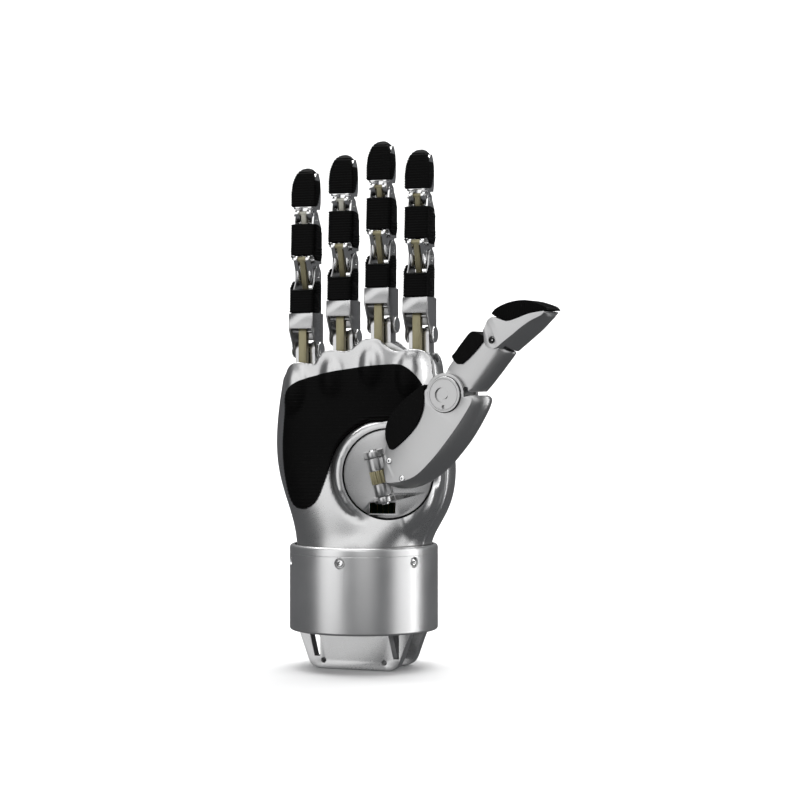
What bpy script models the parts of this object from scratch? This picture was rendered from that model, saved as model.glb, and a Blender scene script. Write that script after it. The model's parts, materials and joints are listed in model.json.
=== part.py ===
"""Right prosthetic hand with powered fingers, as separate named pieces.

Lengths are millimetres in the dimensions and outlines, and turn into metres when a piece is placed.
+Z runs from the wrist to the fingertips, the palm faces -Y and the thumb is on the +X side.
The origin is the middle of the underside of the wrist base.
"""

import math

import bmesh
import bpy
from mathutils import Matrix, Vector

MM = 0.001
GAP = 0.3  # play left between neighbouring pieces

# Wrist
RING_R = 37.0
RING_WALL = 2.2
RING_TOP = 42.5
RING_ROUND = 2.0
BASE_THICK = 3.0
FLANGE_Y = 14.0
FLANGE_THICK = 6.0
FLANGE_DROP = 19.0
FLANGE_TOP_HALF = 30.3
FLANGE_END_HALF = 22.5
FLANGE_CORNER = 5.0
BOLT_X = 16.0
BOLT_Z = -15.0
BOLT_R = 1.25

# Palm: height, half-widths to the little finger and to the thumb, depths to the palm and to the back
PALM_SECTIONS = [
    (30.0, 33.6, 33.6, 33.4, 33.4),
    (44.0, 33.7, 33.9, 33.0, 33.0),
    (52.0, 35.6, 39.0, 28.5, 29.0),
    (61.0, 39.0, 44.5, 24.0, 25.0),
    (70.0, 42.8, 47.2, 20.5, 22.0),
    (81.0, 45.7, 48.0, 18.0, 20.0),
    (94.0, 46.7, 46.5, 17.0, 19.0),
    (112.0, 45.2, 43.5, 16.5, 18.0),
    (128.0, 42.0, 41.2, 16.0, 17.0),
    (150.0, 38.5, 38.6, 15.0, 16.0),
]
PALM_WALL = 1.8
PALM_SIDES = 36
SEAM_Y = -7.0

# Fingers: name, sideways place and height of the knuckle axis
FINGERS = [
    ("pinky", -31.4, 139.5),
    ("ring", -11.1, 145.5),
    ("middle", 9.2, 151.5),
    ("index", 29.4, 146.5),
]
# Joint axes in a finger, as (y, height above the knuckle axis)
KNUCKLE = (3.0, 0.0)
MID_JOINT = (3.0, 38.0)
TIP_JOINT = (0.5, 66.5)
ROD_JOINT = (-3.0, 9.0)
CROSS_BAR = (-4.2, 45.3)
TIP_BAR = (-2.6, 68.6)
FINGER_HALF = 6.5
PAD_THICK = 0.7
WALL = 0.9
CORE_HALF = FINGER_HALF - PAD_THICK - GAP
CORE_IN = CORE_HALF - WALL
TONGUE_HALF = CORE_IN - GAP
FINGER_BACK = 7.3
FRONT_TAPER = 0.05
PIN_R = 1.5

# Thumb: the seat faces SEAT_AXIS, and the thumb moves in a plane turned THUMB_TURN about Z
SEAT_CENTRE = Vector((20.3, -20.0, 78.0))
SEAT_AXIS = Vector((0.342, -0.94, 0.0)).normalized()
SEAT_R = 21.8
HINGE_CENTRE = Vector((17.8, -25.9, 76.7))
HINGE_TILT = math.radians(14.0)
SWING_IN = math.radians(5.0)  # how far the thumb swings in towards the palm
THUMB_TURN = math.radians(-10.0)
THUMB_KNUCKLE = (40.2, 39.9)
THUMB_TIP_JOINT = (65.3, 65.2)

SILVER = ("satin_silver", (0.62, 0.62, 0.63), 0.38, 1.0)
BRUSHED = ("brushed_silver", (0.66, 0.66, 0.67), 0.32, 1.0)
CHROME = ("polished_chrome", (0.80, 0.80, 0.81), 0.12, 1.0)
RUBBER = ("black_rubber", (0.012, 0.012, 0.013), 0.65, 0.0)
OLIVE = ("olive_rod", (0.36, 0.33, 0.24), 0.45, 0.3)
DARK = ("dark_frame", (0.06, 0.06, 0.065), 0.45, 0.8)
BOARD = ("circuit_board", (0.02, 0.10, 0.05), 0.5, 0.0)


# ---------------------------------------------------------------- mesh tools


def clear_scene():
    for obj in list(bpy.data.objects):
        bpy.data.objects.remove(obj, do_unlink=True)


def arc(centre, radius, start, end, steps=6):
    """Points along an arc from start to end, in degrees."""
    angles = [math.radians(start + (end - start) * i / steps) for i in range(steps + 1)]
    return [(centre[0] + radius * math.cos(a), centre[1] + radius * math.sin(a)) for a in angles]


def circle(centre, radius, steps=16):
    return arc(centre, radius, 0, 360, steps)[:-1]


def rounded(corners, radius, steps=3):
    """The closed outline through the corners, each one rounded by a short curve."""
    outline = []
    for i, corner in enumerate(corners):
        here = Vector(corner)
        before = Vector(corners[i - 1])
        after = Vector(corners[(i + 1) % len(corners)])
        reach = min(radius, (before - here).length * 0.45, (after - here).length * 0.45)
        start = here + (before - here).normalized() * reach
        end = here + (after - here).normalized() * reach
        for k in range(steps + 1):
            t = k / steps
            point = start * (1 - t) ** 2 + here * 2 * t * (1 - t) + end * t**2
            outline.append((point.x, point.y))
    return outline


def link_outline(a, b, radius_a, radius_b, steps=6):
    """The outline of a link: round ends about a and b, joined by straight sides."""
    facing = math.degrees(math.atan2(b[1] - a[1], b[0] - a[0]))
    far = arc(b, radius_b, facing - 90, facing + 90, steps)
    near = arc(a, radius_a, facing + 90, facing + 270, steps)
    return far + near


def mesh_of(bm, name="shape"):
    bmesh.ops.recalc_face_normals(bm, faces=bm.faces)
    mesh = bpy.data.meshes.new(name)
    bm.to_mesh(mesh)
    bm.free()
    return mesh


def add_loop(bm, outline, place):
    verts = [bm.verts.new(place(p)) for p in outline]
    return [bm.edges.new((verts[i - 1], verts[i])) for i in range(len(verts))]


PLACES = {
    "X": lambda p: (0.0, p[0], p[1]),
    "Y": lambda p: (p[0], 0.0, p[1]),
    "Z": lambda p: (p[0], p[1], 0.0),
}
DIRECTIONS = {"X": Vector((1, 0, 0)), "Y": Vector((0, 1, 0)), "Z": Vector((0, 0, 1))}


def plate(outline, axis, low, high, holes=()):
    """A plate: the outline, with its holes, extruded along an axis from low to high."""
    bm = bmesh.new()
    edges = []
    for loop in (outline, *holes):
        edges += add_loop(bm, loop, PLACES[axis])
    bmesh.ops.triangle_fill(bm, use_beauty=True, use_dissolve=False, edges=edges)
    bmesh.ops.translate(bm, verts=bm.verts, vec=DIRECTIONS[axis] * low)
    made = bmesh.ops.extrude_face_region(bm, geom=bm.faces[:] + bm.edges[:], use_keep_orig=True)
    moved = [item for item in made["geom"] if isinstance(item, bmesh.types.BMVert)]
    bmesh.ops.translate(bm, verts=moved, vec=DIRECTIONS[axis] * (high - low))
    return mesh_of(bm)


def box(low, high):
    bm = bmesh.new()
    bmesh.ops.create_cube(bm, size=1.0)
    size = [high[i] - low[i] for i in range(3)]
    centre = [(high[i] + low[i]) / 2 for i in range(3)]
    bmesh.ops.scale(bm, verts=bm.verts, vec=size)
    bmesh.ops.translate(bm, verts=bm.verts, vec=centre)
    return mesh_of(bm)


def turned(profile, steps=32):
    """A solid of revolution about Z from a closed (radius, height) profile."""
    bm = bmesh.new()
    edges = add_loop(bm, profile, lambda p: (p[0], 0.0, p[1]))
    bmesh.ops.spin(
        bm, geom=edges, cent=(0, 0, 0), axis=(0, 0, 1), angle=math.tau, steps=steps, use_merge=True
    )
    bmesh.ops.remove_doubles(bm, verts=bm.verts, dist=1e-4)
    return mesh_of(bm)


def rod(axis, centre, radius, low, high, steps=12):
    """A round bar along an axis; centre is its place in the other two directions."""
    return plate(circle(centre, radius, steps), axis, low, high)


def moved(mesh, matrix):
    mesh.transform(matrix)
    return mesh


def combined(base, tools, operation):
    """The base mesh after each tool mesh is united with it, cut from it or intersected with it."""
    scene = bpy.context.scene.collection
    body = bpy.data.objects.new("work_body", base)
    scene.objects.link(body)
    helpers = []
    for mesh in tools:
        helper = bpy.data.objects.new("work_tool", mesh)
        scene.objects.link(helper)
        helpers.append(helper)
        step = body.modifiers.new("step", "BOOLEAN")
        step.operation = operation
        step.object = helper
    bpy.context.view_layer.update()
    graph = bpy.context.evaluated_depsgraph_get()
    result = bpy.data.meshes.new_from_object(body.evaluated_get(graph))
    for obj in (body, *helpers):
        bpy.data.objects.remove(obj, do_unlink=True)
    return result


def united(*meshes):
    return combined(meshes[0], meshes[1:], "UNION")


def cut(base, *tools):
    return combined(base, tools, "DIFFERENCE")


def common(base, *tools):
    return combined(base, tools, "INTERSECT")


def finish_of(spec):
    name, colour, roughness, metallic = spec
    found = bpy.data.materials.get(name)
    if found:
        return found
    made = bpy.data.materials.new(name)
    made.use_nodes = True
    shader = made.node_tree.nodes["Principled BSDF"]
    shader.inputs["Base Color"].default_value = (*colour, 1.0)
    shader.inputs["Roughness"].default_value = roughness
    shader.inputs["Metallic"].default_value = metallic
    return made


SMOOTH_ANGLE = math.radians(35.0)


def node(name, mesh, finish, carrier=None):
    """A named piece from a mesh in millimetres in the hand's frame, with its carrier's origin."""
    shape = mesh.copy()
    shape.name = name
    origin = PIVOT_POINTS[carrier.name] if carrier else Vector()
    shape.transform(Matrix.Scale(MM, 4) @ Matrix.Translation(-origin))
    shape.materials.clear()
    shape.materials.append(finish_of(finish))
    shape.shade_smooth()
    shape.set_sharp_from_angle(angle=SMOOTH_ANGLE)
    obj = bpy.data.objects.new(name, shape)
    bpy.context.scene.collection.objects.link(obj)
    obj.parent = carrier
    return obj


PIVOT_POINTS = {}


def pivot(name, point, parent=None):
    """An empty on a joint's axis, which carries the pieces that turn about it."""
    empty = bpy.data.objects.new(name, None)
    bpy.context.scene.collection.objects.link(empty)
    empty.parent = parent
    PIVOT_POINTS[name] = Vector(point)
    start = PIVOT_POINTS[parent.name] if parent else Vector()
    empty.location = (PIVOT_POINTS[name] - start) * MM
    return empty


def shifted(mesh, x, y, z):
    """A copy of the mesh, moved."""
    copy = mesh.copy()
    copy.transform(Matrix.Translation((x, y, z)))
    return copy


# ---------------------------------------------------------------- wrist


def wrist_ring():
    inner = RING_R - RING_WALL
    profile = [(inner, BASE_THICK + GAP), (inner, RING_TOP - 0.5), (inner + 0.5, RING_TOP)]
    profile += arc((RING_R - RING_ROUND, RING_TOP - RING_ROUND), RING_ROUND, 90, 0, 3)
    profile += arc((RING_R - RING_ROUND, RING_ROUND), RING_ROUND, 0, -90, 3)
    profile += [(inner + 0.2, 0.0), (inner + 0.2, BASE_THICK + GAP)]
    return turned(profile[::-1], 36)


def flange(window):
    """The flange outline across X and Z, with its bolt holes and, in the front one, two windows."""
    top = 2.0
    corners = [
        (-FLANGE_TOP_HALF, top),
        (-FLANGE_END_HALF, -FLANGE_DROP),
        (FLANGE_END_HALF, -FLANGE_DROP),
        (FLANGE_TOP_HALF, top),
    ]
    outline = rounded(corners, FLANGE_CORNER, 4)
    holes = [circle((side * BOLT_X, BOLT_Z), BOLT_R, 12) for side in (-1, 1)]
    if window:
        for side in (-1, 1):
            start = side * 20.8 - 2.8
            holes.append([(start, -0.8), (start + 5.6, -0.8), (start + 5.6, -13.0), (start + 2.8, -13.0)])
    return outline, holes


def wrist_base():
    floor = plate(circle((0, 0), RING_R - RING_WALL - GAP, 36), "Z", 0.0, BASE_THICK)
    inner = FLANGE_Y - FLANGE_THICK
    front = plate(*flange_args(True, -FLANGE_Y, -inner))
    back = plate(*flange_args(False, inner, FLANGE_Y))
    return united(floor, front, back)


def flange_args(window, low, high):
    outline, holes = flange(window)
    return outline, "Y", low, high, holes


# ---------------------------------------------------------------- palm


def section(height, left, right, front, back, grow=0.0):
    """One level of the palm: a rounded oval with its own half-width and depth on each side."""
    squareness = 2.0 + 0.7 * min(1.0, max(0.0, (height - 44.0) / 40.0))
    points = []
    for i in range(PALM_SIDES):
        angle = math.tau * i / PALM_SIDES
        c, s = math.cos(angle), math.sin(angle)
        wide = (right if c > 0 else left) + grow
        deep = (back if s > 0 else front) + grow
        x = math.copysign(abs(c) ** (2 / squareness), c) * wide
        y = math.copysign(abs(s) ** (2 / squareness), s) * deep
        points.append((x, y, height))
    return points


def palm_solid(grow=0.0):
    """The palm's solid through all its levels, grown outwards by a distance."""
    bm = bmesh.new()
    loops = []
    last = len(PALM_SECTIONS) - 1
    for index, (height, *halves) in enumerate(PALM_SECTIONS):
        height += {0: grow, last: -grow}.get(index, 0.0)
        verts = [bm.verts.new(p) for p in section(height, *halves, grow)]
        loops.append([bm.edges.new((verts[i - 1], verts[i])) for i in range(PALM_SIDES)])
    for lower, upper in zip(loops, loops[1:]):
        bmesh.ops.bridge_loops(bm, edges=lower + upper)
    bmesh.ops.edgeloop_fill(bm, edges=loops[0])
    bmesh.ops.edgeloop_fill(bm, edges=loops[-1])
    return mesh_of(bm)


FRONT_EDGE = [
    (-44.0, 123.4), (-39.5, 126.8), (-36.5, 130.8), (-31.5, 132.9), (-26.0, 132.5),
    (-21.0, 132.1), (-18.5, 134.7), (-16.0, 137.8), (-11.5, 138.9), (-5.5, 138.2),
    (-1.8, 138.7), (1.5, 141.2), (5.0, 143.6), (9.5, 144.4), (13.5, 143.6), (17.3, 140.3),
    (21.8, 138.1), (29.0, 139.2), (34.0, 138.4), (37.6, 135.6), (41.0, 130.5), (46.0, 127.0),
]  # fmt: skip


def above(edge, axis_low, axis_high):
    """A block that fills everything above a scalloped edge line."""
    top = 170.0
    outline = edge + [(edge[-1][0], top), (edge[0][0], top)]
    return plate(outline, "Y", axis_low, axis_high)


def seat_frame():
    """Turns Z into the direction that the thumb seat faces, about the seat's centre."""
    across = Vector((0, 0, 1)).cross(SEAT_AXIS).normalized()
    turn = Matrix((across, Vector((0, 0, 1)), SEAT_AXIS)).transposed()
    return Matrix.Translation(SEAT_CENTRE) @ turn.to_4x4()


SEAT_LIP = 2.0
MOUND_R = 25.5
MOUND_FOOT_R = 27.6
MOUND_DEPTH = 14.0


def seat_mound():
    profile = [(0.0, -MOUND_DEPTH), (MOUND_FOOT_R, -MOUND_DEPTH), (MOUND_R + 0.8, SEAT_LIP - 1.2)]
    profile += [(MOUND_R - 0.6, SEAT_LIP), (0.0, SEAT_LIP)]
    return moved(turned_closed(profile, 40), seat_frame())


def turned_closed(profile, steps):
    """A solid of revolution about Z from an open profile that starts and ends on the axis."""
    bm = bmesh.new()
    verts = [bm.verts.new((p[0], 0.0, p[1])) for p in profile]
    edges = [bm.edges.new(pair) for pair in zip(verts, verts[1:])]
    bmesh.ops.spin(
        bm, geom=edges, cent=(0, 0, 0), axis=(0, 0, 1), angle=math.tau, steps=steps, use_merge=True
    )
    bmesh.ops.remove_doubles(bm, verts=bm.verts, dist=1e-3)
    return mesh_of(bm)


def seat_bore(radius, low, high, steps=40):
    return moved(plate(circle((0, 0), radius, steps), "Z", low, high), seat_frame())


FAR = 200.0


def palm_shells():
    """The palm-side shell, with the thumb's seat in it, and the back-of-hand shell."""
    outer = united(palm_solid(), seat_mound())
    inner = palm_solid(-PALM_WALL)
    wrist_opening = box((-FAR, -FAR, 0), (FAR, FAR, 32.0))
    in_front = box((-FAR, -FAR, 0), (FAR, SEAM_Y, FAR))
    behind = box((-FAR, SEAM_Y + GAP, 0), (FAR, FAR, FAR))
    hollow = cut(outer, inner, wrist_opening, above(FRONT_EDGE, -FAR, FAR))
    palm = common(hollow.copy(), in_front)
    back = common(hollow, behind)
    palm = cut(palm, seat_bore(SEAT_R + 0.6, -FAR, 20.0))
    return palm, back


PALM_PAD_OUTLINE = [
    (-37.0, 112.5), (-34.5, 119.0), (-29.5, 122.9), (-22.7, 125.4), (-7.6, 128.5), (7.2, 130.5),
    (21.9, 131.6), (28.5, 130.0), (33.5, 125.5), (35.5, 119.5), (31.0, 110.0), (20.5, 104.6),
    (12.3, 103.9), (4.8, 101.0), (-3.9, 94.9), (-8.6, 88.4), (-11.5, 81.4), (-13.2, 75.8),
    (-17.0, 65.2), (-22.0, 61.0), (-27.2, 60.3), (-31.7, 62.8), (-35.0, 68.5), (-37.6, 79.0),
    (-38.6, 89.5), (-38.3, 100.0),
]  # fmt: skip
PALM_PAD_THICK = 0.9


def palm_pad():
    """The soft pad that lies on the palm-side shell inside its curved outline."""
    skin = cut(palm_solid(GAP + PALM_PAD_THICK), palm_solid(GAP))
    mound_room = moved(
        plate(circle((0, 0), MOUND_FOOT_R + 0.6, 40), "Z", -FAR, FAR), seat_frame()
    )
    patch = plate(PALM_PAD_OUTLINE, "Y", -FAR, SEAM_Y - 2.0)
    return cut(common(skin, patch), mound_room)


BEAM_TOP = -9.0
BEAM_DEEP = 8.0
EAR_IN = 2.4
EAR_OUT = 5.3
EAR_R = 4.0


def knuckle_frame():
    """The cross-beam inside the palm, with a fork of two ears for each finger."""
    shoulder = EAR_OUT + GAP
    top = []
    for _, x, z in FINGERS:
        top += [(x - shoulder, z + BEAM_TOP), (x + shoulder, z + BEAM_TOP)]
    bottom = [(x, z - BEAM_DEEP) for x, z in reversed(top)]
    beam = plate(top + bottom, "Y", -0.8, KNUCKLE[0] + EAR_R)
    ears = []
    for _, x, z in FINGERS:
        for side in (-1, 1):
            centre = (KNUCKLE[0], z)
            outline = arc(centre, EAR_R, 180, 0, 6)
            root = z + BEAM_TOP - 3.0
            outline += [(KNUCKLE[0] + EAR_R, root), (KNUCKLE[0] - EAR_R + 0.4, root)]
            low, high = sorted((x + side * EAR_IN, x + side * EAR_OUT))
            ears.append(plate(outline, "X", low, high, [circle(centre, PIN_R + GAP, 10)]))
    return united(beam, *ears)


def knuckle_pin():
    """A knuckle axle with a round cap on each side of the finger."""
    cap_r = 4.2
    cap_in, cap_out = FINGER_HALF + GAP, FINGER_HALF + 1.1
    profile = [(0.0, -cap_out), (cap_r - 0.4, -cap_out), (cap_r, -cap_out + 0.4), (cap_r, -cap_in)]
    profile += [(PIN_R, -cap_in), (PIN_R, cap_in), (cap_r, cap_in), (cap_r, cap_out - 0.4)]
    profile += [(cap_r - 0.4, cap_out), (0.0, cap_out)]
    pin = turned_closed(profile, 12)
    return moved(pin, Matrix.Rotation(math.pi / 2, 4, "Y"))


MOTOR_ROW = (-28.0, -14.0, 0.0, 14.0)
MOTOR_R = 5.4
PACK_Y = 4.9


def motor_pack():
    """The row of actuators behind the palm, joined by the plates that hold them."""
    low, high = 70.0, 108.0
    span = (MOTOR_ROW[0] - 7.0, MOTOR_ROW[-1] + 7.0)
    plates = [box((span[0], PACK_Y - 5.8, z), (span[1], PACK_Y + 5.8, z + 4.0)) for z in (low, high)]
    motors = [rod("Z", (x, PACK_Y), MOTOR_R, low - 6.0, high + 7.0, 10) for x in MOTOR_ROW]
    return united(plates[0], plates[1], *motors)


def controller_board():
    outline = rounded([(-26.0, 56.0), (24.0, 56.0), (26.0, 108.0), (-28.0, 108.0)], 3.0)
    board = plate(outline, "Y", 12.3, 13.7)
    chip = box((-12.0, 11.2, 80.0), (6.0, 12.8, 98.0))
    plug = box((-20.0, 11.0, 57.0), (12.0, 12.8, 62.0))
    return united(board, chip, plug)


# ---------------------------------------------------------------- thumb


def hinge_frame():
    """Z along the hinge shaft, X across the seat, Y out of it, about the hinge's centre."""
    seat = seat_frame().to_3x3()
    shaft = seat @ Vector((-math.sin(HINGE_TILT), math.cos(HINGE_TILT), 0.0))
    out = SEAT_AXIS
    across = out.cross(shaft)
    turn = Matrix((across, out, shaft)).transposed()
    return Matrix.Translation(HINGE_CENTRE) @ turn.to_4x4()


def thumb_frame():
    return Matrix.Translation(HINGE_CENTRE) @ Matrix.Rotation(THUMB_TURN, 4, "Z")


SHAFT_R = 2.0
LUG_IN = 9.6
LUG_OUT = 12.8
LUG_R = 3.6
DISC_THICK = 4.0


def thumb_turntable():
    """The round turntable in the seat, with the two lugs that hold the thumb's hinge shaft."""
    disc = plate(circle((0, 0), SEAT_R, 40), "Z", -DISC_THICK, 0.0)
    slot = box((-9.0, -19.3, -FAR), (3.5, -14.0, FAR))
    disc = moved(cut(disc, slot), seat_frame())
    height = (HINGE_CENTRE - SEAT_CENTRE).dot(SEAT_AXIS)
    lugs = []
    for side in (-1, 1):
        low, high = sorted((side * LUG_IN, side * LUG_OUT))
        outline = arc((0, 0), LUG_R, 0, 180, 8)
        outline += [(-LUG_R - 1.5, -height - 1.0), (LUG_R + 1.5, -height - 1.0)]
        lug = plate(outline, "Z", low, high, [circle((0, 0), SHAFT_R + GAP, 16)])
        lugs.append(moved(lug, hinge_frame()))
    return united(disc, *lugs)


def thumb_hinge_shaft():
    return moved(rod("Z", (0, 0), SHAFT_R, -LUG_OUT - 0.8, LUG_OUT + 0.8, 16), hinge_frame())


WHEEL_HALF = 3.2
WHEEL_R = 4.2
WHEEL_TEETH = 12


def thumb_worm_wheel():
    outline = []
    for i in range(WHEEL_TEETH):
        for share, radius in ((0.0, WHEEL_R), (0.3, WHEEL_R), (0.5, WHEEL_R - 0.7), (0.8, WHEEL_R - 0.7)):
            angle = math.tau * (i + share) / WHEEL_TEETH
            outline.append((radius * math.cos(angle), radius * math.sin(angle)))
    wheel = plate(outline, "Z", -WHEEL_HALF, WHEEL_HALF, [circle((0, 0), SHAFT_R + GAP, 16)])
    return moved(wheel, hinge_frame())


def thumb_drive_motor():
    """The motor that turns the seat, behind the turntable."""
    motor = plate(circle((0, 0), 7.0, 20), "Z", -15.5, -DISC_THICK - GAP)
    return moved(motor, seat_frame())


META_HALF = 7.5
FORK_HALF = 5.5
PROX_HALF = 5.2
META_OUTLINE = [
    (7.2, -3.2), (9.4, -4.9), (13.0, -5.6), (18.2, -5.4), (27.2, -2.8), (36.3, 2.9),
    (43.5, 9.4), (49.7, 17.3), (55.1, 24.3), (60.3, 33.8), (61.4, 37.6), (59.4, 39.8),
    (54.0, 39.4),
]  # fmt: skip
META_PALM_EDGE = [(28.8, 42.5), (18.7, 35.6), (10.7, 26.8), (9.4, 20.6), (7.4, 12.0), (6.8, 5.0)]
KNUCKLE_R = 10.6
CAP_R = 8.5
CAP_PIN_R = 2.4
BASE_PAD_OUTLINE = [
    (29.6, 44.6), (23.3, 40.8), (17.8, 36.8), (12.9, 32.0), (9.5, 27.2), (8.2, 20.8), (9.5, 16.0),
    (11.8, 13.5), (17.8, 17.7), (24.3, 24.1), (27.9, 30.5), (29.2, 36.5), (29.2, 41.0),
]  # fmt: skip


def thumb_prism(outline, half):
    return plate_uv(outline, -half, half)


def plate_uv(outline, low, high):
    """A plate in the thumb's plane: across and up in the plane, low and high through it."""
    return plate(outline, "Y", low, high)


def metacarpal_outline():
    """The casing's side view, with its round end about the thumb knuckle."""
    return META_OUTLINE + arc(THUMB_KNUCKLE, KNUCKLE_R - 0.4, -7, 160, 10) + META_PALM_EDGE


def thumb_metacarpal():
    body = thumb_prism(metacarpal_outline(), META_HALF)
    fork = thumb_prism(circle(THUMB_KNUCKLE, KNUCKLE_R + 0.4, 32), FORK_HALF)
    gate = THUMB_KNUCKLE[0], THUMB_KNUCKLE[1] + 7.0
    mouth = [(-14, -4), (20, -8), (20, 9), (-14, 9)]
    fork_mouth = thumb_prism([(gate[0] + u, gate[1] + w) for u, w in mouth], FORK_HALF)
    front_bore = plate_uv(circle(THUMB_KNUCKLE, CAP_R + GAP, 32), -FAR, -FORK_HALF + 1.0)
    axle_bore = plate_uv(circle(THUMB_KNUCKLE, CAP_PIN_R + GAP, 16), 0.0, FAR)
    body = moved(cut(body, fork, fork_mouth, front_bore, axle_bore), thumb_frame())
    lug_room = moved(
        united(
            rod("Z", (0, 0), LUG_R + 1.2, LUG_IN - GAP, LUG_OUT + 1.4, 20),
            rod("Z", (0, 0), LUG_R + 1.2, -LUG_OUT - 1.4, -LUG_IN + GAP, 20),
        ),
        hinge_frame(),
    )
    wheel_end = WHEEL_HALF + GAP
    wheel_room = moved(rod("Z", (0, 0), WHEEL_R + GAP, -wheel_end, wheel_end, 20), hinge_frame())
    hub_r = 3.9
    hubs = [
        moved(rod("Z", (0, 0), hub_r, low, high, 20), hinge_frame())
        for low, high in ((wheel_end, LUG_IN - GAP), (-LUG_IN + GAP, -wheel_end))
    ]
    arms = [
        moved(box((-12.0, -2.5, low), (-0.5, 3.2, high)), hinge_frame())
        for low, high in ((WHEEL_HALF + 0.6, LUG_IN - 0.6), (-LUG_IN + 0.6, -WHEEL_HALF - 0.6))
    ]
    shaft_bore = moved(rod("Z", (0, 0), SHAFT_R + GAP, -FAR / 4, FAR / 4, 16), hinge_frame())
    body = cut(body, seat_clearance(), lug_room)
    return cut(united(body, *hubs, *arms), wheel_room, shaft_bore)


def thumb_base_pad():
    """The oval pad that wraps the palm edge of the metacarpal casing."""
    outer = thumb_prism(BASE_PAD_OUTLINE, META_HALF + GAP + PAD_THICK)
    room = thumb_prism(grown(metacarpal_outline(), GAP), META_HALF + GAP)
    return cut(moved(cut(outer, room), thumb_frame()), seat_clearance())


def seat_clearance():
    """The space over the seat and its lip that the thumb's casing keeps out of as it swings."""
    level = moved(box((-FAR, -FAR, -FAR), (FAR, FAR, SEAT_LIP + 1.6)), seat_frame())
    tipped = moved(box((-FAR, -FAR, -FAR), (FAR, FAR, SEAT_LIP + 1.2)), seat_frame())
    shaft = hinge_frame().to_3x3() @ Vector((0, 0, 1))
    swing = Matrix.Rotation(-SWING_IN, 4, shaft)
    about = Matrix.Translation(HINGE_CENTRE) @ swing @ Matrix.Translation(-HINGE_CENTRE)
    return united(level, moved(tipped, about))


def grown(outline, distance):
    """The outline moved outwards by a distance, corner by corner."""
    area = sum(a[0] * b[1] - b[0] * a[1] for a, b in zip(outline, outline[1:] + outline[:1]))
    side = math.copysign(1.0, area)
    result = []
    for i, corner in enumerate(outline):
        here = Vector(corner)
        into = (here - Vector(outline[i - 1])).normalized()
        away = (Vector(outline[(i + 1) % len(outline)]) - here).normalized()
        normal = (Vector((into.y, -into.x)) + Vector((away.y, -away.x))).normalized() * side
        stretch = 1.0 / max(0.4, normal.dot(Vector((into.y, -into.x)) * side))
        result.append(tuple(here + normal * distance * stretch))
    return result


def thumb_knuckle_cap():
    """The knuckle's axle with its wide cap, which shows on the palm side."""
    profile = [(0.0, META_HALF - 0.4), (CAP_PIN_R, META_HALF - 0.4), (CAP_PIN_R, -FORK_HALF)]
    profile += [(CAP_R, -FORK_HALF), (CAP_R, -META_HALF - 0.3), (CAP_R - 0.6, -META_HALF - 0.9)]
    profile += [(0.0, -META_HALF - 0.9)]
    cap = moved(turned_closed(profile, 24), Matrix.Rotation(-math.pi / 2, 4, "X"))
    recess = plate_uv(circle((-1.0, 1.2), 3.6, 20), -FAR, -META_HALF + 0.8)
    small = plate_uv(circle((0.8, -5.4), 1.1, 12), -FAR, -META_HALF + 0.6)
    return cut(cap, recess, small)


PROX_OUTLINE = [
    (57.6, 41.2), (64.7, 47.0), (69.8, 53.1), (74.6, 58.8), (71.2, 61.4),
]  # fmt: skip
PROX_PALM_EDGE = [(60.6, 66.6), (53.6, 68.0), (46.2, 59.2), (39.8, 51.2)]
PROX_END_R = 5.0
PROX_PAD_OUTLINE = [
    (60.2, 65.0), (58.8, 68.0), (53.9, 69.5), (49.2, 64.9), (45.1, 59.9), (43.4, 57.4), (48.6, 54.2),
]  # fmt: skip


def thumb_proximal():
    end = arc(THUMB_TIP_JOINT, PROX_END_R, -30, 150, 6)
    rear = arc(THUMB_KNUCKLE, KNUCKLE_R + 0.9, 88, 6, 8)
    outline = PROX_OUTLINE + end + PROX_PALM_EDGE + rear
    body = thumb_prism(outline, PROX_HALF)
    tongue = thumb_prism(circle(THUMB_KNUCKLE, KNUCKLE_R - 1.6, 32), PROX_HALF)
    neck = thumb_prism(
        [(38.2, 41.9), (51.0, 43.5), (54.0, 50.0), (43.6, 54.0), (39.4, 51.2)],
        PROX_HALF,
    )
    axle_bore = plate_uv(circle(THUMB_KNUCKLE, CAP_PIN_R + GAP, 16), -FAR, FAR)
    pin_bore = plate_uv(circle(THUMB_TIP_JOINT, PIN_R + GAP, 16), -FAR, FAR)
    return moved(cut(united(body, tongue, neck), axle_bore, pin_bore), thumb_frame())


def thumb_proximal_pad():
    """The square pad that wraps the palm edge of the thumb's middle link."""
    outer = thumb_prism(PROX_PAD_OUTLINE, PROX_HALF + GAP + PAD_THICK)
    metal = PROX_OUTLINE + PROX_PALM_EDGE + [(43.0, 45.0)]
    room = thumb_prism(grown(metal, GAP), PROX_HALF + GAP)
    end_room = thumb_prism(circle(THUMB_TIP_JOINT, PROX_END_R + GAP, 24), PROX_HALF + GAP)
    return moved(cut(outer, room, end_room), thumb_frame())


DIST_HALF = 7.6
DIST_FORK = PROX_HALF + GAP + PAD_THICK + GAP
DIST_OUTLINE = [
    (75.4, 59.6), (84.5, 66.8), (90.0, 71.3), (93.2, 75.0), (93.6, 77.2), (92.2, 78.4),
    (84.0, 77.2), (77.2, 74.8), (72.6, 73.8), (65.6, 76.4), (63.0, 74.6), (60.6, 69.8),
]  # fmt: skip
DIST_PAD_OUTLINE = [
    (93.9, 78.4), (92.6, 80.2), (88.5, 82.0), (82.0, 83.6), (74.5, 82.9), (68.5, 80.7),
    (65.3, 78.3), (65.6, 76.9), (72.6, 74.3), (77.2, 75.3), (84.0, 77.7), (92.2, 78.9),
]  # fmt: skip


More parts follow.
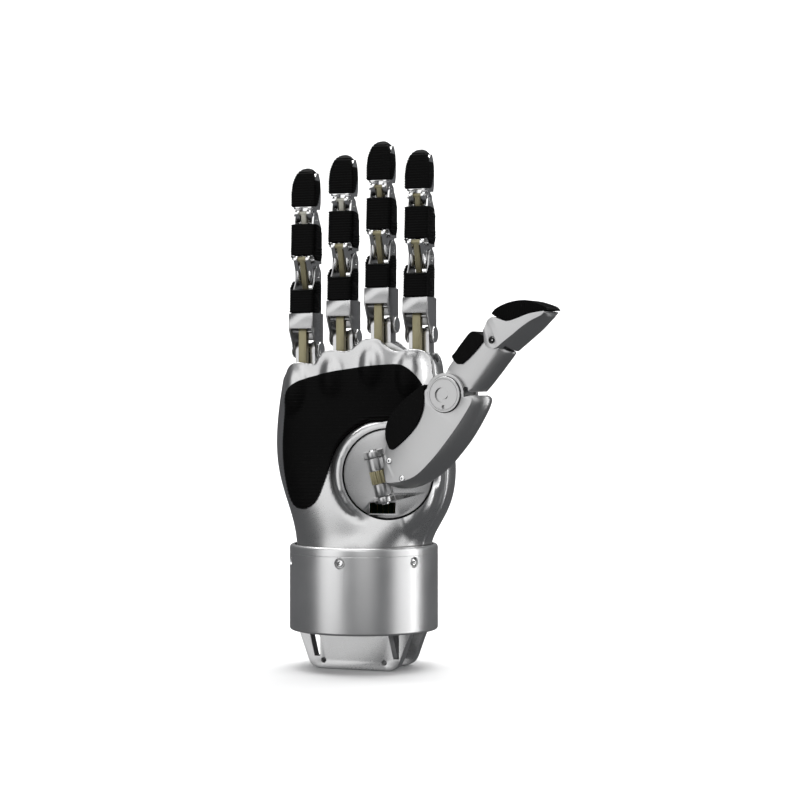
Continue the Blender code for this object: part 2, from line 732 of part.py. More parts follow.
def thumb_distal():
    cheek = arc(THUMB_TIP_JOINT, 4.1, 170, 300, 8)
    body = thumb_prism(DIST_OUTLINE + cheek, DIST_HALF)
    fork_room = [(54.0, 55.0), (84.0, 55.0), (76.2, 59.0), (71.4, 62.8)]
    fork_room += arc(THUMB_TIP_JOINT, PROX_END_R + 1.2, -20, 85, 6) + [(64.0, 80.0), (54.0, 80.0)]
    fork = thumb_prism(fork_room, DIST_FORK)
    pin_bore = plate_uv(circle(THUMB_TIP_JOINT, PIN_R + GAP, 16), -FAR, FAR)
    return moved(cut(body, fork, pin_bore), thumb_frame())


def thumb_distal_pad():
    return moved(thumb_prism(DIST_PAD_OUTLINE, DIST_HALF - 0.2), thumb_frame())


def thumb_tip_pin():
    pin = plate_uv(circle(THUMB_TIP_JOINT, PIN_R, 16), -DIST_HALF + 0.4, DIST_HALF - 0.4)
    return moved(pin, thumb_frame())


# ---------------------------------------------------------------- fingers


def front_at(z):
    """How far forward the palm side of a finger is, at a height above its knuckle axis."""
    return -FINGER_BACK + FRONT_TAPER * (z - 10.3)


BLOCK_LOW, BLOCK_TOP = 10.3, 18.2
PAD_FRONT_TOP, PAD_SIDE_TOP = 29.3, 34.5
MID_PAD_LOW, MID_PAD_TOP = 47.7, 63.0
WALL_TOP = 31.6
MID_WALL_LOW = 43.4
LINK_HALF = 2.0


def proximal_frame():
    """The finger's first link: a channel open to the palm below, with ears for the middle joint."""
    y, z = KNUCKLE
    inset = PAD_THICK + GAP
    lower = arc((y, z), FINGER_BACK - y, 0, -125, 6)
    lower += [(front_at(BLOCK_LOW), BLOCK_LOW), (front_at(BLOCK_TOP), BLOCK_TOP)]
    lower += [(FINGER_BACK, BLOCK_TOP)]
    lower_part = plate(lower, "X", -FINGER_HALF, FINGER_HALF)
    ear = arc(MID_JOINT, 4.3, 180, 0, 6)
    upper = [(front_at(BLOCK_TOP) + inset, 16.5), (FINGER_BACK, 16.5), (FINGER_BACK, MID_JOINT[1])]
    upper += ear[::-1][1:] + [(-2.0, 33.6), (front_at(PAD_FRONT_TOP) + inset, PAD_FRONT_TOP - 0.6)]
    upper_part = plate(upper, "X", -CORE_HALF, CORE_HALF)
    body = united(lower_part, upper_part)
    low_in = FINGER_HALF - WALL
    back_in = FINGER_BACK - 1.0
    low_room = box((-low_in, -FAR, -FAR), (low_in, FAR, 4.8))
    front_room = box((-low_in, -FAR, -FAR), (low_in, back_in, BLOCK_LOW))
    block_room = box((-low_in, front_at(BLOCK_TOP) + 1.7, BLOCK_LOW - 2), (low_in, back_in, 15.8))
    core_front = front_at(26.5) + inset + WALL
    core_room = box((-CORE_IN, core_front, BLOCK_LOW - 2), (CORE_IN, back_in, WALL_TOP + 20))
    mouth = box((-CORE_IN, -FAR, 26.5), (CORE_IN, back_in, FAR))
    back_mouth = box((-CORE_IN, 0.0, WALL_TOP), (CORE_IN, FAR, FAR))
    bores = [
        rod("X", KNUCKLE, PIN_R + GAP, -FAR, FAR, 10),
        rod("X", MID_JOINT, PIN_R + GAP, -FAR, FAR, 10),
    ]
    body = cut(body, low_room, front_room, block_room, core_room, mouth, back_mouth, *bores)
    cross_pin = rod("X", ROD_JOINT, 1.0, -low_in - 0.4, low_in + 0.4, 8)
    return united(body, cross_pin)


def wrapped_pad(outline):
    """A pad that wraps the front and sides of a link; its side view is the outline."""
    outer = plate(outline, "X", -FINGER_HALF, FINGER_HALF)
    inner_half = FINGER_HALF - PAD_THICK
    low, high = -20.0, 120.0
    room = [(front_at(low) + PAD_THICK, low), (FAR, low), (FAR, high)]
    room += [(front_at(high) + PAD_THICK, high)]
    return cut(outer, plate(room, "X", -inner_half, inner_half))


def proximal_pad():
    low = BLOCK_TOP + GAP
    outline = [(front_at(low), low), (2.0, low), (4.0, low + 1.5), (4.0, 32.8)]
    outline += [(2.6, PAD_SIDE_TOP), (-1.2, PAD_SIDE_TOP), (-3.6, 32.4)]
    outline += [(front_at(PAD_FRONT_TOP), PAD_FRONT_TOP)]
    return wrapped_pad(outline)


def middle_frame():
    """The second link: a tongue about the middle joint and a channel above it."""
    inset = PAD_THICK + GAP
    pin_half = CORE_HALF
    ear = arc(TIP_JOINT, 3.3, 180, 0, 6)
    channel = [(FINGER_BACK, MID_WALL_LOW), (FINGER_BACK, 61.8), (TIP_JOINT[0] + 3.3, TIP_JOINT[1])]
    channel += ear[::-1][1:] + [(front_at(62.0) + inset, 62.0)]
    channel += [(front_at(47.0) + inset, 46.5), (-1.0, MID_WALL_LOW)]
    upper = plate(channel, "X", -CORE_HALF, CORE_HALF)
    lobe = arc(MID_JOINT, 5.6, 200, 380, 8)
    eye = arc(CROSS_BAR, 2.1, 90, 230, 4)
    arms = plate(lobe + [(6.0, 48.0), (-3.4, 48.0)] + eye, "X", -TONGUE_HALF, TONGUE_HALF)
    trunnion = rod("X", MID_JOINT, PIN_R, -pin_half, pin_half, 8)
    back_in = FINGER_BACK - 1.0
    core_room = box((-CORE_IN, front_at(60.0) + inset + WALL, 50.0), (CORE_IN, back_in, FAR))
    mouth = box((-CORE_IN, -FAR, 56.5), (CORE_IN, back_in - 2.5, FAR))
    back_mouth = box((-CORE_IN, 0.0, 61.0), (CORE_IN, FAR, FAR))
    tip_bore = rod("X", TIP_JOINT, PIN_R + GAP, -FAR, FAR, 10)
    bar_bore = rod("X", CROSS_BAR, 1.8, -FAR, FAR, 10)
    link_half = LINK_HALF + GAP
    link_room = box((-link_half, -FAR, 30.0), (link_half, 3.0 - PIN_R - 0.8, 51.0))
    body = cut(united(upper, arms), core_room, mouth, back_mouth, tip_bore, bar_bore, link_room)
    return united(body, trunnion)


def middle_pad():
    low = MID_PAD_LOW
    outline = [(front_at(low), low), (-1.0, 45.0), (3.5, 44.6), (5.4, 46.5), (5.4, 59.0)]
    outline += [(3.5, 62.0), (-1.5, MID_PAD_TOP), (front_at(MID_PAD_TOP), MID_PAD_TOP)]
    return wrapped_pad(outline)


TIP = 92.0


def distal_frame():
    """The fingertip's metal core: a tongue about the tip joint, and a body under the pad."""
    body = [(5.4, 70.8), (6.4, 74.0), (6.6, 80.0), (5.6, 86.0), (3.4, 89.2), (0.4, 88.6), (-1.8, 84.5)]
    body += [(-2.8, 78.0), (-3.0, 70.8)]
    core = plate(body[::-1], "X", -CORE_HALF, CORE_HALF)
    lobe = arc(TIP_JOINT, 3.3, 180, 360, 6)
    eye = arc(TIP_BAR, 1.9, 100, 210, 4)
    arms = plate(lobe + [(4.6, 73.0), (-2.9, 73.0)] + eye, "X", -TONGUE_HALF, TONGUE_HALF)
    trunnion = rod("X", TIP_JOINT, PIN_R, -CORE_HALF, CORE_HALF, 8)
    link_half = 1.8 + GAP
    link_room = box((-link_half, -FAR, 60.0), (link_half, TIP_JOINT[0] - PIN_R, 71.6))
    bar_bore = rod("X", TIP_BAR, 1.35, -TONGUE_HALF - 1, TONGUE_HALF + 1, 8)
    return united(cut(united(core, arms), link_room, bar_bore), trunnion)


def distal_pad():
    """The domed pad over the front, sides and end of the fingertip."""
    dome = [(-4.2, 71.8), (-4.0, 78.0), (-3.4, 84.0), (-2.0, 88.6), (0.4, 91.2), (2.8, TIP), (5.2, 90.8)]
    dome += [(6.6, 88.4), (4.6, 80.5), (0.8, 73.4), (-1.2, 71.8)]
    outer = plate(dome[::-1], "X", -FINGER_HALF, FINGER_HALF)
    half = FINGER_HALF
    front_view = [(-half, 70.0), (half, 70.0), (half, 82.0), (half - 0.5, 86.0)]
    front_view += [(half - 1.8, 89.4), (2.6, 91.5), (0.0, 92.4), (-2.6, 91.5)]
    front_view += [(1.8 - half, 89.4), (0.5 - half, 86.0), (-half, 82.0)]
    outer = common(outer, plate(front_view, "Y", -30.0, 30.0))
    room = [(9.0, 70.0), (9.0, 86.4), (6.0, 86.9), (3.7, 89.6), (0.2, 89.0), (-2.1, 84.6)]
    room += [(-3.1, 78.0), (-3.3, 70.0)]
    return cut(outer, plate(room[::-1], "X", -CORE_HALF - GAP, CORE_HALF + GAP))


ROD_WIDE = 2.1


def knuckle_rod():
    """The flat rod from the first link down into the palm."""
    foot = (ROD_JOINT[0], -24.0)
    outline = link_outline(foot, ROD_JOINT, 1.6, 1.8, 5)
    return plate(outline, "X", -ROD_WIDE, ROD_WIDE, [circle(ROD_JOINT, 1.0 + GAP, 8)])


def t_link(top, foot, half, thick, bar_r, bar_half):
    """A flat link with a round cross bar at its top."""
    stem = plate(link_outline(foot, top, thick, thick, 4), "X", -half, half)
    bar = rod("X", top, bar_r, -bar_half, bar_half, 8)
    return united(stem, bar)


def middle_rod():
    return t_link(CROSS_BAR, (0.0, 29.2), LINK_HALF, 1.2, 1.5, TONGUE_HALF)


def tip_rod():
    return t_link(TIP_BAR, (-1.7, 61.0), 1.8, 0.8, 1.05, TONGUE_HALF)


# ---------------------------------------------------------------- assembly


def build_finger(name, x, z, shapes):
    """One finger's nine pieces on their three joints and three rod pivots."""
    axes = {
        "proximal": (KNUCKLE, None),
        "middle": (MID_JOINT, "proximal"),
        "distal": (TIP_JOINT, "middle"),
        "knuckle_rod": (ROD_JOINT, "proximal"),
        "middle_rod": (CROSS_BAR, "middle"),
        "tip_rod": (TIP_BAR, "distal"),
    }
    carriers = {}
    for part, (joint, parent) in axes.items():
        point = (x, joint[0], z + joint[1])
        carriers[part] = pivot(f"{name}_{part}_axis", point, carriers.get(parent))
    for part, finish, carrier in FINGER_PIECES:
        node(f"{name}_{part}", shifted(shapes[part], x, 0, z), finish, carriers[carrier])
    node(f"{name}_knuckle_pin", shifted(shapes["knuckle_pin"], x, KNUCKLE[0], z), CHROME)


FINGER_PIECES = [
    ("proximal_frame", SILVER, "proximal"),
    ("proximal_pad", RUBBER, "proximal"),
    ("middle_frame", CHROME, "middle"),
    ("middle_pad", RUBBER, "middle"),
    ("distal_frame", CHROME, "distal"),
    ("distal_pad", RUBBER, "distal"),
    ("knuckle_rod", OLIVE, "knuckle_rod"),
    ("middle_rod", OLIVE, "middle_rod"),
    ("tip_rod", OLIVE, "tip_rod"),
]


def in_thumb(point):
    """A place in the thumb's plane, in the hand's frame."""
    return thumb_frame() @ Vector((point[0], 0.0, point[1]))


def build_thumb():
    seat = pivot("thumb_seat_axis", SEAT_CENTRE)
    hinge = pivot("thumb_hinge_axis", HINGE_CENTRE, seat)
    knuckle = pivot("thumb_knuckle_axis", in_thumb(THUMB_KNUCKLE), hinge)
    tip = pivot("thumb_tip_axis", in_thumb(THUMB_TIP_JOINT), knuckle)
    cap = moved(thumb_knuckle_cap(), Matrix.Translation((THUMB_KNUCKLE[0], 0.0, THUMB_KNUCKLE[1])))
    node("thumb_turntable", thumb_turntable(), SILVER, seat)
    node("thumb_hinge_shaft", thumb_hinge_shaft(), CHROME, seat)
    node("thumb_metacarpal", thumb_metacarpal(), SILVER, hinge)
    node("thumb_worm_wheel", thumb_worm_wheel(), OLIVE, hinge)
    node("thumb_base_pad", thumb_base_pad(), RUBBER, hinge)
    node("thumb_knuckle_cap", moved(cap, thumb_frame()), SILVER, hinge)
    node("thumb_proximal", thumb_proximal(), SILVER, knuckle)
    node("thumb_proximal_pad", thumb_proximal_pad(), RUBBER, knuckle)
    node("thumb_distal", thumb_distal(), SILVER, tip)
    node("thumb_distal_pad", thumb_distal_pad(), RUBBER, tip)
    node("thumb_tip_pin", thumb_tip_pin(), CHROME, knuckle)
    node("thumb_drive_motor", thumb_drive_motor(), DARK)


def build_palm():
    front, back = palm_shells()
    node("palm_shell", front, SILVER)
    node("back_shell", back, SILVER)
    node("palm_pad", palm_pad(), RUBBER)
    node("wrist_ring", wrist_ring(), BRUSHED)
    node("wrist_base", wrist_base(), BRUSHED)
    node("knuckle_frame", knuckle_frame(), DARK)
    node("motor_pack", motor_pack(), DARK)
    node("controller_board", controller_board(), BOARD)


def build_fingers():
    makers = (proximal_frame, proximal_pad, middle_frame, middle_pad, distal_frame, distal_pad)
    makers += (knuckle_rod, middle_rod, tip_rod, knuckle_pin)
    shapes = {maker.__name__: maker() for maker in makers}
    for name, x, z in FINGERS:
        build_finger(name, x, z, shapes)


clear_scene()
build_palm()
build_thumb()
build_fingers()
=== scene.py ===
"""The looks of a right prosthetic hand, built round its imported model.

Lengths in the shapes are millimetres, in the hand's own frame: +Z runs from the wrist to the
fingertips, the palm faces -Y and the thumb is on the +X side.
"""

import json
import math

import bmesh
import bpy
from mathutils import Matrix, Vector

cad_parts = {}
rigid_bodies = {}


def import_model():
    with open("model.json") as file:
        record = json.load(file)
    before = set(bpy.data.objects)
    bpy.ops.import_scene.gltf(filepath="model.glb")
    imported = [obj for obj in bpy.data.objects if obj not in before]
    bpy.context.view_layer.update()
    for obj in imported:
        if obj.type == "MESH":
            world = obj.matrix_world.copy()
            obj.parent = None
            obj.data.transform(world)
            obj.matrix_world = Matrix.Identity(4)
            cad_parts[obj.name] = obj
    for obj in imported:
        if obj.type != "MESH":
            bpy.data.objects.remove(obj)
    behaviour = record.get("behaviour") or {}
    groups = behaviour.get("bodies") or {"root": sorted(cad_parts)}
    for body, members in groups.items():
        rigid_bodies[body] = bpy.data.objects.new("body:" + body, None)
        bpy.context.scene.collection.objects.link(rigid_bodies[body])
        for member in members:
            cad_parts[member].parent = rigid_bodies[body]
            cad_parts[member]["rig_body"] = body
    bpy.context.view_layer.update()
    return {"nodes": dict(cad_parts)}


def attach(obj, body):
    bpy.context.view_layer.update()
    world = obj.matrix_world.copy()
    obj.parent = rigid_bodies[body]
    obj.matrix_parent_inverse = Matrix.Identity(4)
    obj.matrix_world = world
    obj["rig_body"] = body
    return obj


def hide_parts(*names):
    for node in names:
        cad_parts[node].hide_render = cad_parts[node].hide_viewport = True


MM = 0.001
for leftover in list(bpy.data.objects):
    bpy.data.objects.remove(leftover, do_unlink=True)
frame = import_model()
nodes = frame["nodes"]


# ---------------------------------------------------------------- finishes


class Value:
    """A number or colour that runs between a finish's nodes, with plain arithmetic."""

    def __init__(self, finish, socket):
        self.finish = finish
        self.socket = socket

    def _math(self, operation, *operands):
        return self.finish.add("ShaderNodeMath", {"operation": operation}, dict(enumerate(operands)))

    def __add__(self, other):
        return self._math("ADD", self, other)

    __radd__ = __add__

    def __mul__(self, other):
        return self._math("MULTIPLY", self, other)

    __rmul__ = __mul__

    def __sub__(self, other):
        return self._math("SUBTRACT", self, other)

    def __rsub__(self, other):
        return self._math("SUBTRACT", other, self)

    def __pow__(self, other):
        return self._math("POWER", self, other)


class Finish:
    """A surface finish: a Principled shader and the nodes that vary it."""

    def __init__(self, name, **constants):
        self.material = bpy.data.materials.new(name)
        self.material.use_nodes = True
        self.nodes = self.material.node_tree.nodes
        self.links = self.material.node_tree.links
        self.shader = self.nodes["Principled BSDF"]
        for socket, value in constants.items():
            self.shader.inputs[socket.replace("_", " ")].default_value = value
        self.place = self.add("ShaderNodeTexCoord", output="Object")

    def put(self, socket, value):
        if isinstance(value, Value):
            self.links.new(value.socket, socket)
        else:
            socket.default_value = value

    def add(self, kind, settings=None, inputs=None, output=0):
        """A node of this kind, its settings first and then its sockets, as the value of one output."""
        made = self.nodes.new(kind)
        for key, value in (settings or {}).items():
            setattr(made, key, value)
        for key, value in (inputs or {}).items():
            self.put(made.inputs[key], value)
        return Value(self, made.outputs[output])

    def noise(self, scale, detail=2.0, stretch=None, roughness=0.5):
        """Cloudy noise, finer with a larger scale; stretch scales each direction first."""
        place = self.place
        if stretch:
            place = self.add("ShaderNodeMapping", {}, {"Vector": place, "Scale": stretch})
        inputs = {"Vector": place, "Scale": scale, "Detail": detail, "Roughness": roughness}
        return self.add("ShaderNodeTexNoise", {"noise_dimensions": "3D"}, inputs, "Fac")

    def mixed(self, factor, first, second):
        """One colour into another; the indices are those of the node's colour sockets."""
        return self.add("ShaderNodeMix", {"data_type": "RGBA"}, {0: factor, 6: first, 7: second}, 2)

    def set(self, **varied):
        for socket, value in varied.items():
            self.put(self.shader.inputs[socket.replace("_", " ")], value)
        return self

    def bumped(self, height, depth, strength=1.0):
        """Raises the surface by the height, which runs from 0 to 1 over a depth in millimetres."""
        inputs = {"Height": height, "Distance": depth * MM, "Strength": strength}
        self.put(self.shader.inputs["Normal"], self.add("ShaderNodeBump", {}, inputs))
        return self


def grey(shade, warmth=0.0):
    return (shade * (1 + warmth), shade, shade * (1 - warmth), 1.0)


def blasted_metal(name, shade, rough, grain=1.0):
    """Cast alloy, fine blasted: a sparkling grain, and faint clouds where hands have rubbed it."""
    made = Finish(name, Metallic=1.0)
    fine = made.noise(3200.0, 2.0)
    cloud = made.noise(55.0, 3.0)
    tone = made.mixed(cloud * 0.6 + fine * 0.4, grey(shade * 0.86), grey(shade * 1.1))
    made.set(Base_Color=tone, Roughness=(cloud - 0.5) * 0.12 + (fine - 0.5) * 0.16 + rough)
    return made.bumped(made.noise(2600.0, 1.0), 0.028 * grain, 0.55).material


def polished_metal(name, shade, rough):
    """Polished steel with faint smears and hair scratches."""
    made = Finish(name, Metallic=1.0)
    smear = made.noise(130.0, 4.0)
    scratch = made.noise(1.0, 3.0, (900.0, 500.0, 5000.0), 0.7)
    tone = made.mixed(smear, grey(shade * 0.93), grey(shade * 1.06))
    made.set(Base_Color=tone, Roughness=(smear - 0.45) * 0.16 + (scratch - 0.5) * 0.08 + rough)
    return made.bumped(scratch, 0.006, 0.4).material


def grip_rubber(name, shade, gloss):
    """Moulded black rubber: dull, with a fine pebble and paler dust on its high spots."""
    made = Finish(name, Specular_IOR_Level=gloss)
    pebble = made.noise(3000.0, 2.0)
    dust = made.noise(220.0, 4.0)
    tone = made.mixed(dust ** 2.0, grey(shade * 0.75), grey(shade * 1.9, 0.02))
    made.set(Base_Color=tone, Roughness=(dust - 0.5) * 0.2 + (pebble - 0.5) * 0.14 + 0.52)
    return made.bumped(pebble, 0.03, 0.5).material


def olive_plate(name, low, high, metallic=0.55):
    """Olive conversion coat on machined links, worn to a paler tone in streaks."""
    made = Finish(name, Metallic=metallic)
    streak = made.noise(1.0, 4.0, (1400.0, 1400.0, 160.0), 0.6)
    cloud = made.noise(260.0, 3.0)
    tone = made.mixed(streak * 0.5 + cloud * 0.5, (*low, 1.0), (*high, 1.0))
    made.set(Base_Color=tone, Roughness=(cloud - 0.5) * 0.25 + 0.4)
    return made.bumped(streak, 0.015, 0.5).material


def dark_metal(name, shade, rough):
    """Black anodised metal, a little greyer where it is handled."""
    made = Finish(name, Metallic=0.85)
    cloud = made.noise(180.0, 4.0)
    fine = made.noise(2400.0, 2.0)
    tone = made.mixed(cloud, grey(shade * 0.7), grey(shade * 1.7))
    made.set(Base_Color=tone, Roughness=(cloud - 0.5) * 0.2 + rough)
    return made.bumped(fine, 0.02, 0.4).material


def board_green(name):
    """A lacquered circuit board: copper tracks under a green mask."""
    made = Finish(name, Coat_Weight=0.4, Coat_Roughness=0.15)
    inputs = {"Vector": made.place, "Scale": 300.0, "Mortar Size": 0.06}
    inputs.update({"Brick Width": 0.9, "Row Height": 0.35})
    tracks = made.add("ShaderNodeTexBrick", {"offset": 0.37}, inputs, "Fac")
    cloud = made.noise(400.0, 2.0)
    mask = made.mixed(cloud, (0.008, 0.05, 0.02, 1.0), (0.015, 0.085, 0.035, 1.0))
    made.set(Base_Color=made.mixed(tracks, mask, (0.25, 0.2, 0.06, 1.0)), Roughness=tracks * 0.2 + 0.35)
    return made.bumped(tracks, 0.03, 0.6).material


SATIN = blasted_metal("satin_silver", 0.58, 0.30)
CAST = blasted_metal("thumb_cast", 0.50, 0.34)
TURNED = blasted_metal("brushed_silver", 0.76, 0.36, 0.4)
BRIGHT = polished_metal("polished_chrome", 0.78, 0.13)
RUBBER = grip_rubber("black_rubber", 0.0018, 0.07)
# The same rubber made much paler for the rib tops: a painted highlight where the ribs catch the light.
RIB_HIGHLIGHT = grip_rubber("rib_painted_highlight", 0.15, 0.4)
# A paler, rougher copy of the chrome for the joint lobes: the roughness spreads real reflections, the
# paleness is a painted highlight.
BOSS_HIGHLIGHT = polished_metal("boss_painted_highlight", 0.93, 0.27)
OLIVE = olive_plate("olive_link", (0.21, 0.185, 0.10), (0.36, 0.33, 0.21))
PALE_LINK = olive_plate("pale_link", (0.46, 0.45, 0.38), (0.66, 0.65, 0.57))
BLACKED = dark_metal("dark_metal", 0.022, 0.42)
# Near-black for the inside of screw sockets: painted shade in the recess.
SOCKET_SHADE = dark_metal("socket_painted_shade", 0.008, 0.5)
BOARD = board_green("circuit_board")


def painted(obj, *materials):
    obj.data.materials.clear()
    for material in materials:
        obj.data.materials.append(material)
    return obj


# ---------------------------------------------------------------- shaping tools


def as_object(name, mesh):
    obj = bpy.data.objects.new(name, mesh)
    bpy.context.scene.collection.objects.link(obj)
    return obj


def mesh_from(bm, name="shape"):
    """The mesh of a closed bmesh, its faces turned outwards."""
    bmesh.ops.recalc_face_normals(bm, faces=bm.faces)
    mesh = bpy.data.meshes.new(name)
    bm.to_mesh(mesh)
    bm.free()
    return mesh


def cad_copy(name):
    """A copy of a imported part's mesh in millimetres, with its loose triangles joined."""
    bm = bmesh.new()
    bm.from_mesh(nodes[name].data)
    bmesh.ops.scale(bm, verts=bm.verts, vec=(1 / MM,) * 3)
    bmesh.ops.remove_doubles(bm, verts=bm.verts, dist=0.002)
    bmesh.ops.dissolve_limit(bm, angle_limit=math.radians(1.5), verts=bm.verts, edges=bm.edges)
    bmesh.ops.triangulate(bm, faces=[f for f in bm.faces if len(f.verts) > 4])
    mesh = bpy.data.meshes.new(name)
    bm.to_mesh(mesh)
    bm.free()
    return mesh


def baked(obj):
    """The object's mesh with its modifiers applied; the object itself is removed."""
    bpy.context.view_layer.update()
    mesh = bpy.data.meshes.new_from_object(obj.evaluated_get(bpy.context.evaluated_depsgraph_get()))
    bpy.data.objects.remove(obj, do_unlink=True)
    return mesh


def combined(base, tools, operation):
    body = as_object("work_body", base)
    helpers = []
    for mesh in tools:
        helpers.append(as_object("work_tool", mesh))
        step = body.modifiers.new("step", "BOOLEAN")
        step.operation = operation
        step.object = helpers[-1]
    mesh = baked(body)
    for helper in helpers:
        bpy.data.objects.remove(helper, do_unlink=True)
    return mesh


def united(base, *tools):
    return combined(base, tools, "UNION")


def cut(base, *tools):
    return combined(base, tools, "DIFFERENCE")


def common(base, *tools):
    return combined(base, tools, "INTERSECT")


def remeshed(mesh, size, smoothing):
    """The mesh rebuilt in cells of this size and smoothed, so that its forms run into each other."""
    obj = as_object("work_remesh", mesh)
    remesh = obj.modifiers.new("cells", "REMESH")
    remesh.mode = "VOXEL"
    remesh.voxel_size = size
    smooth = obj.modifiers.new("smooth", "SMOOTH")
    smooth.factor = 0.5
    smooth.iterations = smoothing
    return baked(obj)


def moved(mesh, matrix):
    mesh.transform(matrix)
    return mesh


def circle(centre, radius, steps=32, start=0.0, end=360.0):
    """Points round a circle, or along an arc that includes its end."""
    whole = end - start == 360.0
    count = steps if whole else steps + 1
    angles = [math.radians(start + (end - start) * i / steps) for i in range(count)]
    return [(centre[0] + radius * math.cos(a), centre[1] + radius * math.sin(a)) for a in angles]


def flowing(points, steps=4, closed=True):
    """A smooth line through all the points."""
    result = []
    count = len(points)
    for i in range(count if closed else count - 1):
        near = [i - 1, i, i + 1, i + 2]
        pick = [points[k % count if closed else min(max(k, 0), count - 1)] for k in near]
        for step in range(steps):
            t = step / steps
            result.append(tuple(
                0.5 * (2 * b + (c - a) * t + (2 * a - 5 * b + 4 * c - d) * t * t
                       + (3 * b - a - 3 * c + d) * t**3)
                for a, b, c, d in zip(*pick)
            ))
    return result if closed else result + [points[-1]]


PLACES = {
    "X": lambda p: (0.0, p[0], p[1]),
    "Y": lambda p: (p[0], 0.0, p[1]),
    "Z": lambda p: (p[0], p[1], 0.0),
}
DIRECTIONS = {"X": Vector((1, 0, 0)), "Y": Vector((0, 1, 0)), "Z": Vector((0, 0, 1))}


def add_loop(bm, outline, place):
    verts = [bm.verts.new(place(p)) for p in outline]
    return [bm.edges.new((verts[i - 1], verts[i])) for i in range(len(verts))]


def plate(outline, axis, low, high, *holes):
    """The outline, with its holes, extruded along an axis from low to high."""
    bm = bmesh.new()
    edges = []
    for loop in (outline, *holes):
        edges += add_loop(bm, loop, PLACES[axis])
    bmesh.ops.triangle_fill(bm, use_beauty=True, edges=edges)
    bmesh.ops.translate(bm, verts=bm.verts, vec=DIRECTIONS[axis] * low)
    made = bmesh.ops.extrude_face_region(bm, geom=bm.faces[:] + bm.edges[:], use_keep_orig=True)
    far = [item for item in made["geom"] if isinstance(item, bmesh.types.BMVert)]
    bmesh.ops.translate(bm, verts=far, vec=DIRECTIONS[axis] * (high - low))
    return mesh_from(bm)


def box(low, high):
    bm = bmesh.new()
    bmesh.ops.create_cube(bm, size=1.0)
    bmesh.ops.scale(bm, verts=bm.verts, vec=[b - a for a, b in zip(low, high)])
    bmesh.ops.translate(bm, verts=bm.verts, vec=[(a + b) / 2 for a, b in zip(low, high)])
    return mesh_from(bm)


def turned(profile, steps=32, closed=False):
    """A solid turned about Z. An open profile starts and ends on the axis; a closed one makes a ring."""
    bm = bmesh.new()
    verts = [bm.verts.new((radius, 0.0, height)) for radius, height in profile]
    pairs = list(zip(verts, verts[1:])) + ([(verts[-1], verts[0])] if closed else [])
    edges = [bm.edges.new(pair) for pair in pairs]
    bmesh.ops.spin(
        bm, geom=verts + edges, cent=(0, 0, 0), axis=(0, 0, 1), angle=math.tau, steps=steps, use_merge=True
    )
    bmesh.ops.remove_doubles(bm, verts=bm.verts, dist=1e-3)
    return mesh_from(bm)


def merged(*meshes):
    """Several closed shapes in one mesh, side by side."""
    bm = bmesh.new()
    for mesh in meshes:
        bm.from_mesh(mesh)
    mesh = bpy.data.meshes.new("merged")
    bm.to_mesh(mesh)
    bm.free()
    return mesh


def piece(name, mesh, body, materials, angle=40.0, bevel=0.0, segments=2, stands_for=()):
    """A finished piece on its body, scaled to metres and softly shaded; bevel, in mm, eases its edges."""
    shape = mesh.copy()
    shape.name = name
    shape.transform(Matrix.Scale(MM, 4))
    obj = as_object(name, shape)
    painted(obj, *(materials if isinstance(materials, tuple) else (materials,)))
    if bevel:
        ease = obj.modifiers.new("eased_edges", "BEVEL")
        ease.width = bevel * MM
        ease.segments = segments
        ease.limit_method = "ANGLE"
        ease.angle_limit = math.radians(angle)
        ease.harden_normals = False
    shape.shade_smooth()
    shape.set_sharp_from_angle(angle=math.radians(angle if not bevel else 75.0))
    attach(obj, body)
    if stands_for:
        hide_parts(*stands_for)
    return obj


def body_of(node_name):
    return nodes[node_name]["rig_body"]


def refined(name, material, bevel=0.25, segments=2, angle=40.0):
    """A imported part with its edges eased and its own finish."""
    shape = cad_copy(name)
    return piece(f"{name}_fine", shape, body_of(name), material, angle, bevel, segments, (name,))


# ---------------------------------------------------------------- studio


def stage_material(name, shade, rough=0.9):
    made = Finish(name)
    cloud = made.noise(6.0, 2.0)
    tone = made.mixed(cloud, grey(shade * 0.985), grey(shade))
    return made.set(Base_Color=tone, Roughness=rough).material


FLOOR_Z = -19.2


def sweep():
    """The pale floor, curving up into the wall behind."""
    profile = [(-2600.0, FLOOR_Z), (900.0, FLOOR_Z)]
    profile += circle((900.0, FLOOR_Z + 700.0), 700.0, 15, -90.0, 0.0)[1:]
    profile += [(1600.0, 3600.0)]
    bm = bmesh.new()
    verts = [bm.verts.new((-3500.0, y, z)) for y, z in profile]
    edges = [bm.edges.new(pair) for pair in zip(verts, verts[1:])]
    made = bmesh.ops.extrude_edge_only(bm, edges=edges)
    far = [item for item in made["geom"] if isinstance(item, bmesh.types.BMVert)]
    bmesh.ops.translate(bm, verts=far, vec=(7000.0, 0.0, 0.0))
    bmesh.ops.scale(bm, verts=bm.verts, vec=(MM,) * 3)
    bmesh.ops.recalc_face_normals(bm, faces=bm.faces)
    mesh = bpy.data.meshes.new("studio_sweep")
    bm.to_mesh(mesh)
    bm.free()
    obj = painted(as_object("studio_sweep", mesh), stage_material("studio_paper", 0.86))
    mesh.shade_smooth()
    obj.visible_glossy = False


CENTRE = Vector((0.0169, 0.0062, 0.114))
SIGHT = Vector((0.342, -0.94, 0.0)).normalized()
ACROSS = Vector((0.94, 0.342, 0.0)).normalized()


def studio_place(right, up, front):
    """A place given from the middle of the hand as the viewer has it: right, up and towards, in metres."""
    return CENTRE + ACROSS * right + Vector((0, 0, 1)) * up + SIGHT * front


def soft_light(name, place, size, power, target=None):
    data = bpy.data.lights.new(name, "AREA")
    data.shape = "RECTANGLE"
    data.size, data.size_y = size
    data.energy = power
    lamp = bpy.data.objects.new(name, data)
    lamp.location = place
    lamp.rotation_euler = ((target or CENTRE) - place).to_track_quat("-Z", "Y").to_euler()
    bpy.context.scene.collection.objects.link(lamp)


